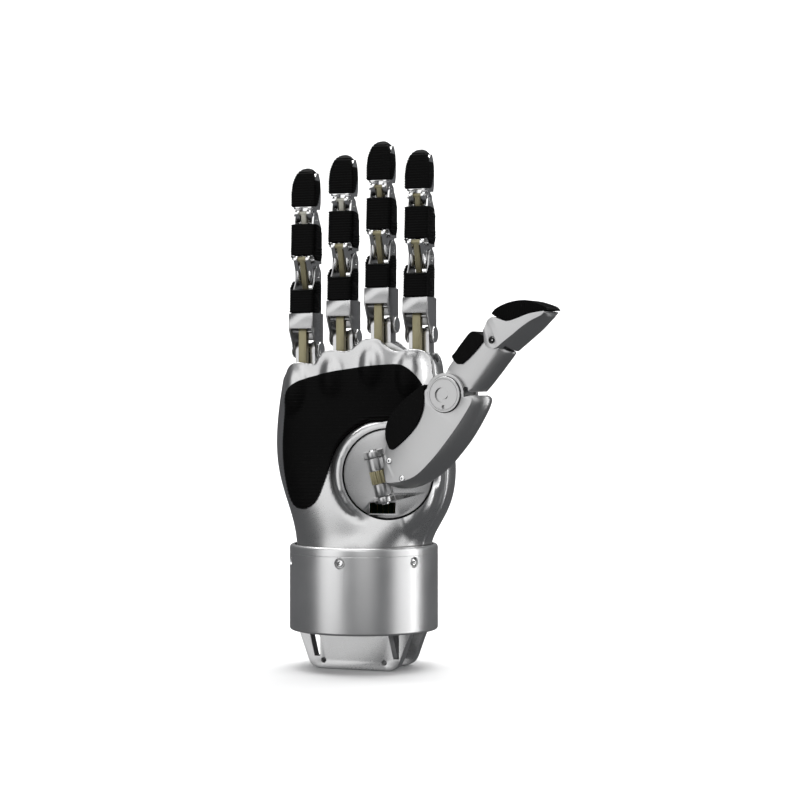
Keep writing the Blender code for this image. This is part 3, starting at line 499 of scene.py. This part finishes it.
def studio():
    sweep()
    world = bpy.data.worlds.new("studio")
    bpy.context.scene.world = world
    world.use_nodes = True
    world.node_tree.nodes["Background"].inputs["Color"].default_value = (0.55, 0.56, 0.58, 1.0)
    world.node_tree.nodes["Background"].inputs["Strength"].default_value = 0.22
    soft_light("left_bank", studio_place(-0.95, 0.25, 0.75), (0.9, 1.5), 5.2)
    soft_light("right_bank", studio_place(0.9, 0.1, 0.5), (0.5, 1.4), 2.6)
    soft_light("front_fill", studio_place(0.05, 0.1, 1.5), (0.8, 0.9), 1.5)
    soft_light("front_veil", studio_place(-0.25, 0.75, 1.25), (0.9, 0.9), 3.2)
    soft_light("right_edge", studio_place(0.95, 0.1, 0.1), (0.16, 1.2), 2.6)
    soft_light("overhead", studio_place(0.0, 1.1, 0.2), (1.1, 0.5), 6.0)
    soft_light("paper_wash", studio_place(0.0, 1.6, -0.7), (2.6, 0.8), 55.0, studio_place(0.0, 0.0, -1.6))
    view = bpy.context.scene.view_settings
    view.view_transform = "Standard"
    camera = bpy.data.cameras.new("camera")
    camera.lens = 90.0
    camera.sensor_width = 36.0
    camera.clip_start, camera.clip_end = 0.05, 20.0
    eye = bpy.data.objects.new("camera", camera)
    eye.location = CENTRE + SIGHT
    eye.rotation_euler = (-SIGHT).to_track_quat("-Z", "Y").to_euler()
    bpy.context.scene.collection.objects.link(eye)
    bpy.context.scene.camera = eye


# ---------------------------------------------------------------- places of the parts

FINGERS = [
    ("pinky", -31.4, 139.5),
    ("ring", -11.1, 145.5),
    ("middle", 9.2, 151.5),
    ("index", 29.4, 146.5),
]
SEAT_CENTRE = Vector((20.3, -20.0, 78.0))
SEAT_AXIS = Vector((0.342, -0.94, 0.0)).normalized()
HINGE_CENTRE = Vector((17.8, -25.9, 76.7))
THUMB_KNUCKLE = (40.2, 39.9)
THUMB_TIP_JOINT = (65.3, 65.2)
RING_R = 37.0


def facing(out, place):
    """Turns Z into the direction out, keeping Y near upright, at a place."""
    up = Vector((0, 0, 1)) if abs(out.z) < 0.9 else Vector((0, 1, 0))
    across = up.cross(out).normalized()
    turn = Matrix((across, out.cross(across), out)).transposed()
    return Matrix.Translation(place) @ turn.to_4x4()


SEAT = facing(SEAT_AXIS, SEAT_CENTRE)
THUMB = Matrix.Translation(HINGE_CENTRE) @ Matrix.Rotation(math.radians(-10.0), 4, "Z")
HINGE_TILT = math.radians(14.0)
SHAFT = SEAT.to_3x3() @ Vector((-math.sin(HINGE_TILT), math.cos(HINGE_TILT), 0.0))
HINGE = Matrix.Translation(HINGE_CENTRE) @ Matrix(
    (SEAT_AXIS.cross(SHAFT), SEAT_AXIS, SHAFT)).transposed().to_4x4()


# ---------------------------------------------------------------- screws


def hex_socket_screw(radius, height, across):
    """A button-head screw with a socket, its face towards Z and its seat at Z = 0."""
    deep = height - 0.5 * radius
    profile = [(0.0, deep), (across, deep), (across, height - 0.06), (across + 0.12, height)]
    dome = (1.2, 0.9, 0.6, 0.3, 0.0)
    profile += [(radius * math.cos(a), height * (0.35 + 0.65 * math.sin(a))) for a in dome]
    return turned(profile + [(radius, -0.4), (0.0, -0.4)], 24)


def screw(name, place, out, body, radius=1.7, height=1.0, head=None):
    """A screw head standing on a surface, its socket near-black: painted shade inside the recess."""
    bm = bmesh.new()
    bm.from_mesh(hex_socket_screw(radius, height, radius * 0.52))
    for face in bm.faces:
        centre = face.calc_center_median()
        if math.hypot(centre.x, centre.y) < radius * 0.5 and centre.z < height - 0.08:
            # Faces inside the socket take the near-black painted shade.
            face.material_index = 1
    mesh = bpy.data.meshes.new(name)
    bm.to_mesh(mesh)
    bm.free()
    moved(mesh, facing(out.normalized(), place))
    return piece(name, mesh, body, (head or BRIGHT, SOCKET_SHADE), angle=50.0)


# ---------------------------------------------------------------- wrist


SCREW_LEVEL = 35.0
FIRST_SCREW = -87.7


def wrist_pieces():
    """The ring with its rolled rim, step and screws, and the flanged base under it."""
    inner = RING_R - 2.2
    profile = [(inner, 3.4), (inner, 42.0)]
    profile += circle((RING_R - 1.7, 40.8), 1.7, 8, 110.0, 0.0)
    profile += [(RING_R, 38.3), (RING_R - 0.12, 38.15), (RING_R, 38.0)]
    profile += circle((RING_R - 1.2, 1.2), 1.2, 6, 0.0, -80.0) + [(inner + 0.4, 0.05)]
    ring = turned(profile, 128, closed=True)
    holes = []
    for step in range(6):
        angle = math.radians(60 * step + FIRST_SCREW)
        out = Vector((math.cos(angle), math.sin(angle), 0.0))
        centre = out * RING_R + Vector((0, 0, SCREW_LEVEL))
        sink = turned([(0.0, -1.4), (2.3, -1.4), (2.9, 0.4), (0.0, 0.4)], 28)
        holes.append(moved(sink, facing(out, centre)))
        seat = centre - out * 1.45
        screw(f"ring_screw_{step}", seat, out, "palm", 2.1, 1.35, BRIGHT)
    ring = cut(ring, *holes)
    piece("wrist_ring_fine", ring, "palm", TURNED, 32.0, stands_for=("wrist_ring",))
    refined("wrist_base", SATIN, 0.5, 3)


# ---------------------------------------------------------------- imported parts


def plain_finishes():
    """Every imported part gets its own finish, also where a finer piece stands for it."""
    kinds = {"pad": RUBBER, "rod": OLIVE, "pin": BRIGHT, "frame": BRIGHT, "shaft": BRIGHT, "wheel": OLIVE}
    special = {
        "knuckle_frame": BLACKED, "motor_pack": BLACKED, "controller_board": BOARD,
        "thumb_drive_motor": BLACKED, "wrist_ring": TURNED, "wrist_base": SATIN,
    }
    for name, obj in nodes.items():
        by_kind = (finish for key, finish in kinds.items() if name.endswith(key))
        finish = special.get(name) or next(by_kind, SATIN)
        painted(obj, finish)


def carved(mesh, chosen, offset, segments):
    """Rounds the edges that chosen picks by their two end points."""
    bm = bmesh.new()
    bm.from_mesh(mesh)
    edges = [e for e in bm.edges if chosen(e.verts[0].co, e.verts[1].co)]
    bmesh.ops.bevel(
        bm, geom=edges, offset=offset, offset_type="OFFSET", affect="EDGES", segments=segments,
        profile=0.5, material=-1, clamp_overlap=True,
    )
    return mesh_from(bm)


def ribbed(mesh, along, low, high, pitch, rise, outward, land=0.42):
    """Raises parallel ribs on the faces that outward picks, their tops in the second material as a painted
    highlight; low and high are measured along a direction.
    """
    bm = bmesh.new()
    bm.from_mesh(mesh)
    level = low
    while level < high:
        for share in (0.0, land):
            place = along * (level + share * pitch)
            bmesh.ops.bisect_plane(
                bm, geom=bm.verts[:] + bm.edges[:] + bm.faces[:], plane_co=place, plane_no=along, dist=1e-4
            )
        level += pitch
    bm.normal_update()
    tops = []
    for face in bm.faces:
        centre = face.calc_center_median()
        reach = centre.dot(along)
        share = ((reach - low) / pitch) % 1.0
        if low < reach < high and share < land and outward(centre, face.normal):
            tops.append(face)
    made = bmesh.ops.extrude_face_region(bm, geom=tops)["geom"]
    raised = {item for item in made if isinstance(item, bmesh.types.BMFace)}
    shift = {}
    for vert in (item for item in made if isinstance(item, bmesh.types.BMVert)):
        normal = sum((f.normal for f in vert.link_faces if f in raised), Vector())
        shift[vert] = normal.normalized() * rise if normal.length else Vector()
    for vert, step in shift.items():
        vert.co += step
    # The rib tops take the second material: paler rubber painted on as their highlight.
    for face in raised:
        face.material_index = 1
    bmesh.ops.delete(bm, geom=[f for f in tops if f.is_valid], context="FACES_KEEP_BOUNDARY")
    return mesh_from(bm)


# ---------------------------------------------------------------- palm

# Height, half-width to the little finger, half-width to the thumb, depth to the palm, depth to the back
PALM_LEVELS = [
    (20.0, 33.6, 33.6, 33.4, 33.4), (36.0, 33.6, 33.6, 33.3, 33.3), (44.0, 33.7, 33.9, 33.0, 33.0),
    (52.0, 35.6, 39.0, 28.5, 29.0), (61.0, 39.0, 44.5, 24.0, 25.0), (70.0, 42.8, 47.2, 20.5, 22.0),
    (81.0, 45.7, 48.0, 18.0, 20.0), (94.0, 46.7, 46.5, 17.0, 19.0), (112.0, 45.2, 43.5, 16.5, 18.0),
    (128.0, 42.0, 41.2, 16.0, 17.0), (150.0, 38.5, 38.6, 15.0, 16.0), (162.0, 38.0, 38.0, 15.0, 16.0),
]
PALM_EDGE = [
    (-46.0, 122.0), (-39.5, 126.8), (-36.5, 130.8), (-31.5, 132.9), (-26.0, 132.5),
    (-21.0, 132.1), (-18.5, 134.7), (-16.0, 137.8), (-11.5, 138.9), (-5.5, 138.2),
    (-1.8, 138.7), (1.5, 141.2), (5.0, 143.6), (9.5, 144.4), (13.5, 143.6), (17.3, 140.3),
    (21.8, 138.1), (29.0, 139.2), (34.0, 138.4), (37.6, 135.6), (41.0, 130.5), (48.0, 126.0),
]
PALM_PAD_EDGE = [
    (-37.0, 112.5), (-34.5, 119.0), (-29.5, 122.9), (-22.7, 125.4), (-7.6, 128.5), (7.2, 130.5),
    (21.9, 131.6), (28.5, 130.0), (33.5, 125.5), (35.5, 119.5), (31.0, 110.0), (20.5, 104.6),
    (12.3, 103.9), (4.8, 101.0), (-3.9, 94.9), (-8.6, 88.4), (-11.5, 81.4), (-13.2, 75.8),
    (-17.0, 65.2), (-22.0, 61.0), (-27.2, 60.3), (-31.7, 62.8), (-35.0, 68.5), (-37.6, 79.0),
    (-38.6, 89.5), (-38.3, 100.0),
]
FAR = 200.0
BORE_R = 22.4


def palm_form(grow, levels):
    """The palm's smooth outer form through all its levels, moved outwards by grow."""
    bm = bmesh.new()
    loops = []
    for height, left, right, front, back in PALM_LEVELS:
        corner = 2.0 + 0.7 * min(1.0, max(0.0, (height - 44.0) / 40.0))
        ring = bmesh.ops.create_circle(bm, cap_ends=False, radius=1.0, segments=36)["verts"]
        for vert in ring:
            c, s = vert.co.x, vert.co.y
            wide = (right if c > 0 else left) + grow
            deep = (back if s > 0 else front) + grow
            x = math.copysign(abs(c) ** (2 / corner), c) * wide
            y = math.copysign(abs(s) ** (2 / corner), s) * deep
            vert.co = (x, y, height)
        loops.append(list({edge for vert in ring for edge in vert.link_edges}))
    for lower, upper in zip(loops, loops[1:]):
        bmesh.ops.bridge_loops(bm, edges=lower + upper)
    bmesh.ops.edgeloop_fill(bm, edges=loops[0])
    bmesh.ops.edgeloop_fill(bm, edges=loops[-1])
    obj = as_object("work_palm", mesh_from(bm))
    smooth = obj.modifiers.new("smooth", "SUBSURF")
    smooth.levels = smooth.render_levels = levels
    return baked(obj)


def swelling(centre, radii, turn=None):
    """An egg-shaped swelling that is worked into a cast form."""
    bm = bmesh.new()
    bmesh.ops.create_uvsphere(bm, u_segments=24, v_segments=16, radius=1.0)
    bmesh.ops.scale(bm, verts=bm.verts, vec=radii)
    if turn:
        bmesh.ops.rotate(bm, verts=bm.verts, cent=(0, 0, 0), matrix=turn)
    bmesh.ops.translate(bm, verts=bm.verts, vec=centre)
    return mesh_from(bm)


def cast_palm():
    """The palm as one flowing casting: the seat's mound, the swelling under each finger, the heel."""
    mound = turned([(0.0, -15.0), (28.0, -15.0), (26.6, 0.6), (25.2, 2.3), (0.0, 2.3)], 64)
    knolls = [
        swelling((-31.0, -8.4, 119.0), (8.0, 9.0, 16.0)),
        swelling((-11.0, -8.6, 124.5), (8.2, 9.8, 16.5)),
        swelling((9.3, -8.6, 130.0), (8.4, 9.8, 16.5)),
        swelling((28.5, -8.0, 125.5), (8.6, 9.6, 16.0)),
    ]
    heel = swelling((34.5, -14.5, 61.0), (6.5, 7.5, 15.0), Matrix.Rotation(math.radians(28.0), 3, "Y"))
    form = united(palm_form(0.0, 2), moved(mound, SEAT), heel, *knolls)
    return remeshed(form, 1.0, 26)


def puffed(mesh, distance):
    """The mesh moved outwards along its normals."""
    obj = as_object("work_puff", mesh.copy())
    push = obj.modifiers.new("push", "DISPLACE")
    push.strength = distance
    push.mid_level = 0.0
    return baked(obj)


def palm_pieces():
    casting = cast_palm()
    above_edge = flowing(PALM_EDGE, 4, closed=False)
    above = plate(above_edge + [(48.0, 175.0), (-46.0, 175.0)], "Y", -FAR, FAR)
    shell = cut(casting.copy(), palm_form(-1.9, 1), box((-FAR, -FAR, 0), (FAR, FAR, 32.0)), above)
    front = common(shell.copy(), box((-FAR, -FAR, 0), (FAR, -6.95, FAR)))
    back = common(shell, box((-FAR, -6.75, 0), (FAR, FAR, FAR)))
    front = remeshed(front, 0.62, 3)
    bore = moved(plate(circle((0, 0), BORE_R, 128), "Z", -FAR, 20.0), SEAT)
    front = cut(front, bore)
    back = remeshed(back, 0.7, 3)
    piece("palm_casting", front, "palm", SATIN, 50.0, stands_for=("palm_shell",))
    piece("back_casting", back, "palm", SATIN, 60.0, stands_for=("back_shell",))
    patch = plate(flowing(PALM_PAD_EDGE, 3), "Y", -FAR, -8.5)
    sheet = common(puffed(casting, 0.85), patch)
    sheet = cut(sheet, puffed(casting, 0.2))
    sheet = ribbed(
        sheet, Vector((0, 0, 1)), 60.0, 132.0, 1.75, 0.32,
        lambda centre, normal: normal.y < -0.2,
    )
    # The second material is the painted highlight on the rib tops.
    looks = (RUBBER, RIB_HIGHLIGHT)
    piece("palm_pad_ribbed", sheet, "palm", looks, 35.0, stands_for=("palm_pad",))


# ---------------------------------------------------------------- thumb

CASING_HALF = 7.5
LINK_HALF_WIDTH = 5.2
TIP_HALF = 7.6
# Each row is one station along a casing: its palm edge, the crease on its sides, and its outer edge
METACARPAL_ROWS = [
    ((7.0, 3.0), (8.0, -2.4), (9.3, -4.5)), ((7.4, 10.5), (13.0, -2.2), (13.6, -5.3)),
    ((8.6, 17.5), (18.5, -1.1), (20.0, -4.8)), ((10.1, 24.5), (25.3, 1.9), (28.4, -1.8)),
    ((14.2, 30.6), (33.8, 9.6), (37.6, 4.4)), ((20.0, 36.2), (41.4, 18.2), (45.7, 12.6)),
    ((26.0, 40.2), (47.6, 26.0), (52.4, 21.0)), ((33.0, 43.5), (53.0, 33.7), (59.0, 31.8)),
    ((38.0, 44.5), (54.6, 37.0), (61.0, 37.3)), ((42.0, 43.0), (54.4, 39.2), (59.2, 39.5)),
]
PROXIMAL_ROWS = [
    ((38.0, 47.0), (47.8, 37.1), (56.0, 38.0)), ((42.0, 54.0), (54.2, 45.4), (64.3, 47.2)),
    ((46.3, 59.0), (58.0, 50.3), (69.4, 53.2)), ((52.0, 65.9), (64.0, 58.0), (74.0, 58.9)),
    ((56.0, 67.0), (66.5, 61.0), (73.0, 60.2)), ((60.4, 66.4), (67.5, 62.8), (70.8, 61.2)),
]
DISTAL_ROWS = [
    ((59.5, 68.0), (64.0, 58.5), (70.0, 55.5)), ((62.7, 74.0), (66.4, 60.6), (75.6, 60.4)),
    ((65.8, 76.0), (71.0, 64.2), (79.6, 63.4)), ((72.6, 73.9), (76.0, 67.7), (84.2, 67.0)),
    ((78.0, 75.0), (80.5, 71.0), (88.0, 70.0)), ((84.0, 77.0), (85.5, 74.0), (91.1, 73.1)),
    ((89.5, 77.9), (90.2, 76.0), (93.0, 75.6)), ((92.2, 78.2), (92.3, 77.6), (93.3, 77.3)),
]
BASE_PAD_EDGE = [
    (29.6, 44.6), (23.3, 40.8), (17.8, 36.8), (12.9, 32.0), (9.5, 27.2), (8.2, 20.8), (9.5, 16.0),
    (11.8, 13.5), (17.8, 17.7), (24.3, 24.1), (27.9, 30.5), (29.2, 36.5), (29.2, 41.0),
]
PROXIMAL_PAD_EDGE = [
    (60.2, 65.0), (58.8, 68.0), (53.9, 69.5), (49.2, 64.9), (45.1, 59.9), (43.4, 57.4), (48.6, 54.2),
]
TIP_PAD_EDGE = [
    (93.7, 78.6), (92.6, 80.1), (88.5, 81.7), (82.0, 83.3), (74.5, 82.6), (68.5, 80.5),
    (65.5, 78.4), (65.7, 76.9), (72.6, 74.3), (77.2, 75.3), (84.0, 77.7), (92.2, 78.7),
]
METAL_UNDER_BASE = [
    (6.5, 3.0), (7.1, 12.0), (9.1, 20.7), (10.4, 27.0), (18.5, 35.9), (28.6, 42.8), (38.0, 47.0),
    (60.0, 30.0), (20.0, -8.0),
]
METAL_UNDER_SQUARE = [
    (39.3, 51.0), (46.0, 59.5), (53.4, 68.3), (60.9, 66.8), (69.0, 66.0), (66.0, 44.0), (50.0, 40.0),
]
TOWARDS = Vector((0.0, -1.0, 0.0))


def casing(rows, half):
    """A casing lofted through its stations: flat sides up to the crease, and a rounded back beyond it."""
    turn = math.radians(62.0)
    inner, crease, outer = (flowing(list(line), 4, closed=False) for line in zip(*rows))
    bm = bmesh.new()
    loops = []
    for row in zip(inner, crease, outer):
        palm, fold, back = (Vector(point) for point in row)
        loop = [(palm.x, -half, palm.y)]
        for step in range(-8, 9):
            angle = turn * step / 8
            place = fold + (back - fold) * (math.cos(angle) - math.cos(turn)) / (1 - math.cos(turn))
            loop.append((place.x, half * math.sin(angle) / math.sin(turn), place.y))
        loops.append([bm.verts.new(point) for point in loop + [(palm.x, half, palm.y)]])
    for lower, upper in zip(loops, loops[1:]):
        for i in range(len(lower)):
            bm.faces.new((lower[i - 1], lower[i], upper[i], upper[i - 1]))
    bm.faces.new(loops[0])
    bm.faces.new(loops[-1])
    return mesh_from(bm)


def disc(centre, radius, half):
    return plate(circle(centre, radius, 64), "Y", -half, half)


def eased_plate(outline, half, offset):
    """A plate in the thumb's plane with its side edges rounded."""
    return carved(
        plate(outline, "Y", -half, half),
        lambda a, b: abs(a.y - b.y) < 0.01 and abs(a.y) > half - 0.01, offset, 4,
    )


def seat_side():
    """The side of the thumb that its swing keeps clear of the seat."""
    level = moved(box((-FAR, -FAR, -FAR), (FAR, FAR, 3.6)), SEAT)
    tipped = moved(box((-FAR, -FAR, -FAR), (FAR, FAR, 3.2)), SEAT)
    swing = Matrix.Translation(HINGE_CENTRE) @ Matrix.Rotation(math.radians(-5.0), 4, SHAFT)
    return united(level, moved(tipped, swing @ Matrix.Translation(-HINGE_CENTRE)))


def knuckle_cap_face():
    """The wide cap over the thumb's knuckle, with a rim, a crescent recess and a small hole."""
    face = CASING_HALF + 0.8
    profile = [(0.0, 7.0), (2.4, 7.0), (2.4, -5.6), (8.5, -5.6), (8.5, 0.25 - face), (8.3, -face)]
    profile += [(7.75, -face), (7.6, 0.28 - face), (7.25, 0.28 - face), (7.1, 0.06 - face)]
    profile += [(0.0, 0.02 - face)]
    cap = moved(turned(profile, 72), Matrix.Rotation(-math.pi / 2, 4, "X"))
    recess = plate(circle((-1.3, -0.2), 3.5, 48), "Y", -20.0, 1.0 - face)
    boss = plate(circle((-0.3, 0.5), 2.6, 40), "Y", -face, 3.0 - face)
    hole = plate(circle((-0.2, -5.9), 0.95, 24), "Y", -20.0, 1.2 - face)
    return united(cut(cap, recess, hole), boss)


def thumb_pieces():
    out = (THUMB.to_3x3() @ TOWARDS).normalized()
    hub = moved(turned([(0.0, -9.3), (5.0, -9.3), (5.0, 9.3), (0.0, 9.3)], 32), THUMB.inverted() @ HINGE)
    links = [
        ("thumb_metacarpal", METACARPAL_ROWS, CASING_HALF, [(THUMB_KNUCKLE, 10.1)], [hub]),
        ("thumb_proximal", PROXIMAL_ROWS, LINK_HALF_WIDTH,
         [(THUMB_KNUCKLE, 8.8), (THUMB_TIP_JOINT, 4.8)], []),
        ("thumb_distal", DISTAL_ROWS, TIP_HALF, [(THUMB_TIP_JOINT, 4.0)], []),
    ]
    for name, rows, half, ends, more in links:
        discs = [disc(centre, radius, half - 0.06) for centre, radius in ends]
        form = moved(united(casing(rows, half - 0.05), *discs, *more), THUMB)
        form = common(form, cad_copy(name))
        piece(f"{name}_casing", form, body_of(name), CAST, 18.0, 0.22, 2, (name,))
    room = plate(METAL_UNDER_BASE, "Y", -CASING_HALF - 0.25, CASING_HALF + 0.25)
    base = cut(eased_plate(flowing(BASE_PAD_EDGE, 3), CASING_HALF + 0.95, 0.7), room)
    base = cut(moved(base, THUMB), seat_side())
    room = plate(METAL_UNDER_SQUARE, "Y", -LINK_HALF_WIDTH - 0.25, LINK_HALF_WIDTH + 0.25)
    square = cut(eased_plate(flowing(PROXIMAL_PAD_EDGE, 3), LINK_HALF_WIDTH + 0.95, 0.7), room)
    for name, shape in (("thumb_base_pad", base), ("thumb_proximal_pad", moved(square, THUMB))):
        piece(f"{name}_soft", shape, body_of(name), RUBBER, 30.0, stands_for=(name,))
    tip = eased_plate(flowing(TIP_PAD_EDGE, 3), TIP_HALF - 0.5, 1.6)
    tip = ribbed(
        tip, Vector((1, 0, 0)), 66.5, 92.6, 0.95, 0.22,
        lambda centre, normal: abs(normal.y) > 0.3 or normal.z > 0.2,
    )
    pad = "thumb_distal_pad"
    # The rib tops take the paler rubber, a painted highlight.
    piece("thumb_tip_ribbed", moved(tip, THUMB), body_of(pad), (RUBBER, RIB_HIGHLIGHT), 35.0,
          stands_for=(pad,))
    at_knuckle = THUMB @ Matrix.Translation((THUMB_KNUCKLE[0], 0.0, THUMB_KNUCKLE[1]))
    piece("thumb_cap_face", moved(knuckle_cap_face(), at_knuckle), body_of("thumb_knuckle_cap"), CAST,
          30.0, stands_for=("thumb_knuckle_cap",))
    for index, (u, w) in enumerate(((9.9, 8.1), (17.1, -0.2))):
        place = THUMB @ Vector((u, 0.1 - CASING_HALF, w))
        screw(f"thumb_casing_screw_{index}", place, out, body_of("thumb_metacarpal"), 1.6, 0.5, BRIGHT)
    refined("thumb_tip_pin", BRIGHT, 0.2)
    pin_face = THUMB @ Vector((THUMB_TIP_JOINT[0], 0.3 - TIP_HALF, THUMB_TIP_JOINT[1]))
    screw("thumb_tip_screw", pin_face, out, body_of("thumb_tip_pin"), 1.35, 0.45, BLACKED)
    refined("thumb_turntable", SATIN, 0.45, 3)
    refined("thumb_hinge_shaft", BRIGHT, 0.2)
    refined("thumb_worm_wheel", OLIVE, 0.15)


# ---------------------------------------------------------------- fingers

PAD_HALF = 6.5
RIB_PITCH = 1.3
STEM_HALF = 2.05
STEM_SHARE = 0.66
BAR_END = 2.3
TIP_SIDE = [
    (-4.2, 71.8), (-4.0, 78.0), (-3.4, 84.0), (-2.0, 88.6), (0.4, 91.2), (2.8, 92.0), (5.2, 90.8),
    (6.6, 88.4), (4.6, 80.5), (0.8, 73.4), (-1.2, 71.8),
]
TIP_ROOM = [
    (9.0, 70.0), (9.0, 86.4), (6.0, 86.9), (3.7, 89.6), (0.2, 89.0), (-2.1, 84.6), (-3.1, 78.0),
    (-3.3, 70.0),
]


def finger_copy(kind):
    """A finger part's mesh, in millimetres from its knuckle's axis."""
    name, x, z = FINGERS[2]
    return moved(cad_copy(f"{name}_{kind}"), Matrix.Translation((-x, 0.0, -z)))


def front_edges(a, b):
    """The upright edges where a pad turns from the front of a finger to its sides."""
    upright = abs(a.x - b.x) < 0.01 and abs(a.z - b.z) > 4.0
    return upright and abs(abs(a.x) - PAD_HALF) < 0.02 and a.y < -3.0 and b.y < -3.0


def pad_ribs(mesh, low, high):
    return ribbed(
        mesh, Vector((0, 0, 1)), low, high, RIB_PITCH, 0.28,
        lambda centre, normal: centre.y < 1.5 and Vector((centre.x, centre.y - 2.0)).dot(normal.xy) > 0.5,
    )


def wrapped_pad(kind, low, high):
    return pad_ribs(carved(finger_copy(kind), front_edges, 1.8, 4), low, high)


def tip_pad():
    """The domed fingertip pad, ribbed across."""
    half = PAD_HALF
    quarter = [(half, 79.0), (6.2, 82.6), (5.4, 86.2), (4.1, 89.2), (2.4, 91.3), (0.0, 92.2)]
    view = [(-half, 70.0), (half, 70.0)] + quarter + [(-x, z) for x, z in quarter[-2::-1]]
    dome = common(plate(TIP_SIDE[::-1], "X", -half, half), plate(view, "Y", -30.0, 30.0))
    dome = remeshed(dome, 0.42, 9)
    dome = cut(dome, plate(TIP_ROOM[::-1], "X", -5.6, 5.6))
    return pad_ribs(dome, 72.6, 90.5)


def barred_link(name, kind, link, at):
    """A link with a slim stem, whose cross bar has bright ends."""
    shape = moved(finger_copy(kind), Matrix.Translation(at))
    for vert in shape.vertices:
        if abs(vert.co.x - at.x) < STEM_HALF:
            vert.co.x = at.x + (vert.co.x - at.x) * STEM_SHARE
    obj = piece(f"{name}_bar", shape, body_of(name), (link, BRIGHT), 40.0, 0.15, 2, (name,))
    for face in obj.data.polygons:
        if abs(face.center.x - at.x * MM) > BAR_END * MM:
            face.material_index = 1


def side_screws(finger, at, kind, place, body, radius, height, head):
    """The same screw on both sides of a finger."""
    for side, end in ((-1, "left"), (1, "right")):
        out = Vector((side, 0, 0))
        spot = at + Vector((side * place[0], place[1], place[2]))
        screw(f"{finger}_{kind}_{end}", spot, out, body, radius, height, head)


def finger_pieces():
    pads = {
        "proximal_pad": wrapped_pad("proximal_pad", 18.9, 34.4),
        "middle_pad": wrapped_pad("middle_pad", 44.0, 62.6),
        "distal_pad": tip_pad(),
    }
    metal = {
        "proximal_frame": (SATIN, "satin_silver", 0.25),
        "middle_frame": (BRIGHT, "polished_chrome", 0.3),
        "distal_frame": (BRIGHT, "polished_chrome", 0.3),
        "knuckle_rod": (OLIVE, "olive_link", 0.3),
        "knuckle_pin": (BRIGHT, "polished_chrome", 0.2),
    }
    shapes = {kind: finger_copy(kind) for kind in metal}
    for finger, x, z in FINGERS:
        at = Vector((x, 0.0, z))
        shift = Matrix.Translation(at)
        for kind, mesh in pads.items():
            name = f"{finger}_{kind}"
            shape = moved(mesh.copy(), shift)
            # The rib tops take the paler rubber, a painted highlight.
            looks = (RUBBER, RIB_HIGHLIGHT)
            piece(f"{name}_ribbed", shape, body_of(name), looks, 40.0, stands_for=(name,))
        for kind, (finish, slot, bevel) in metal.items():
            name = f"{finger}_{kind}"
            shape = moved(shapes[kind].copy(), shift)
            piece(f"{name}_fine", shape, body_of(name), finish, 40.0, bevel, 2, (name,))
        barred_link(f"{finger}_middle_rod", "middle_rod", OLIVE, at)
        tip_link = PALE_LINK if finger in ("pinky", "ring") else OLIVE
        barred_link(f"{finger}_tip_rod", "tip_rod", tip_link, at)
        carrier = body_of(f"{finger}_middle_frame")
        lobes = [swelling((side * 3.3, -1.2, 38.5), (1.15, 2.6, 5.2)) for side in (-1, 1)]
        lobes = moved(merged(*lobes), shift)
        # The lobes take the paler chrome copy, whose paleness is a painted highlight.
        piece(f"{finger}_joint_lobes", lobes, carrier, BOSS_HIGHLIGHT, 60.0)
        # A thin black sheet behind the knuckle rod: painted shade for the dark seen past the rod.
        shade_card = moved(box((-2.3, 4.9, -9.0), (2.3, 5.8, 3.4)), shift)
        piece(f"{finger}_knuckle_shade_card", shade_card, "palm", BLACKED)
        side_screws(finger, at, "tip_screw", (5.0, 0.5, 66.5), carrier, 1.5, 0.5, BRIGHT)
        base = body_of(f"{finger}_proximal_frame")
        side_screws(finger, at, "knuckle_cap", (6.45, 3.0, 0.0), base, 2.8, 0.6, OLIVE)
    refined("knuckle_frame", SATIN, 0.4, 2)


# ---------------------------------------------------------------- the hand


plain_finishes()
studio()
wrist_pieces()
palm_pieces()
thumb_pieces()
finger_pieces()
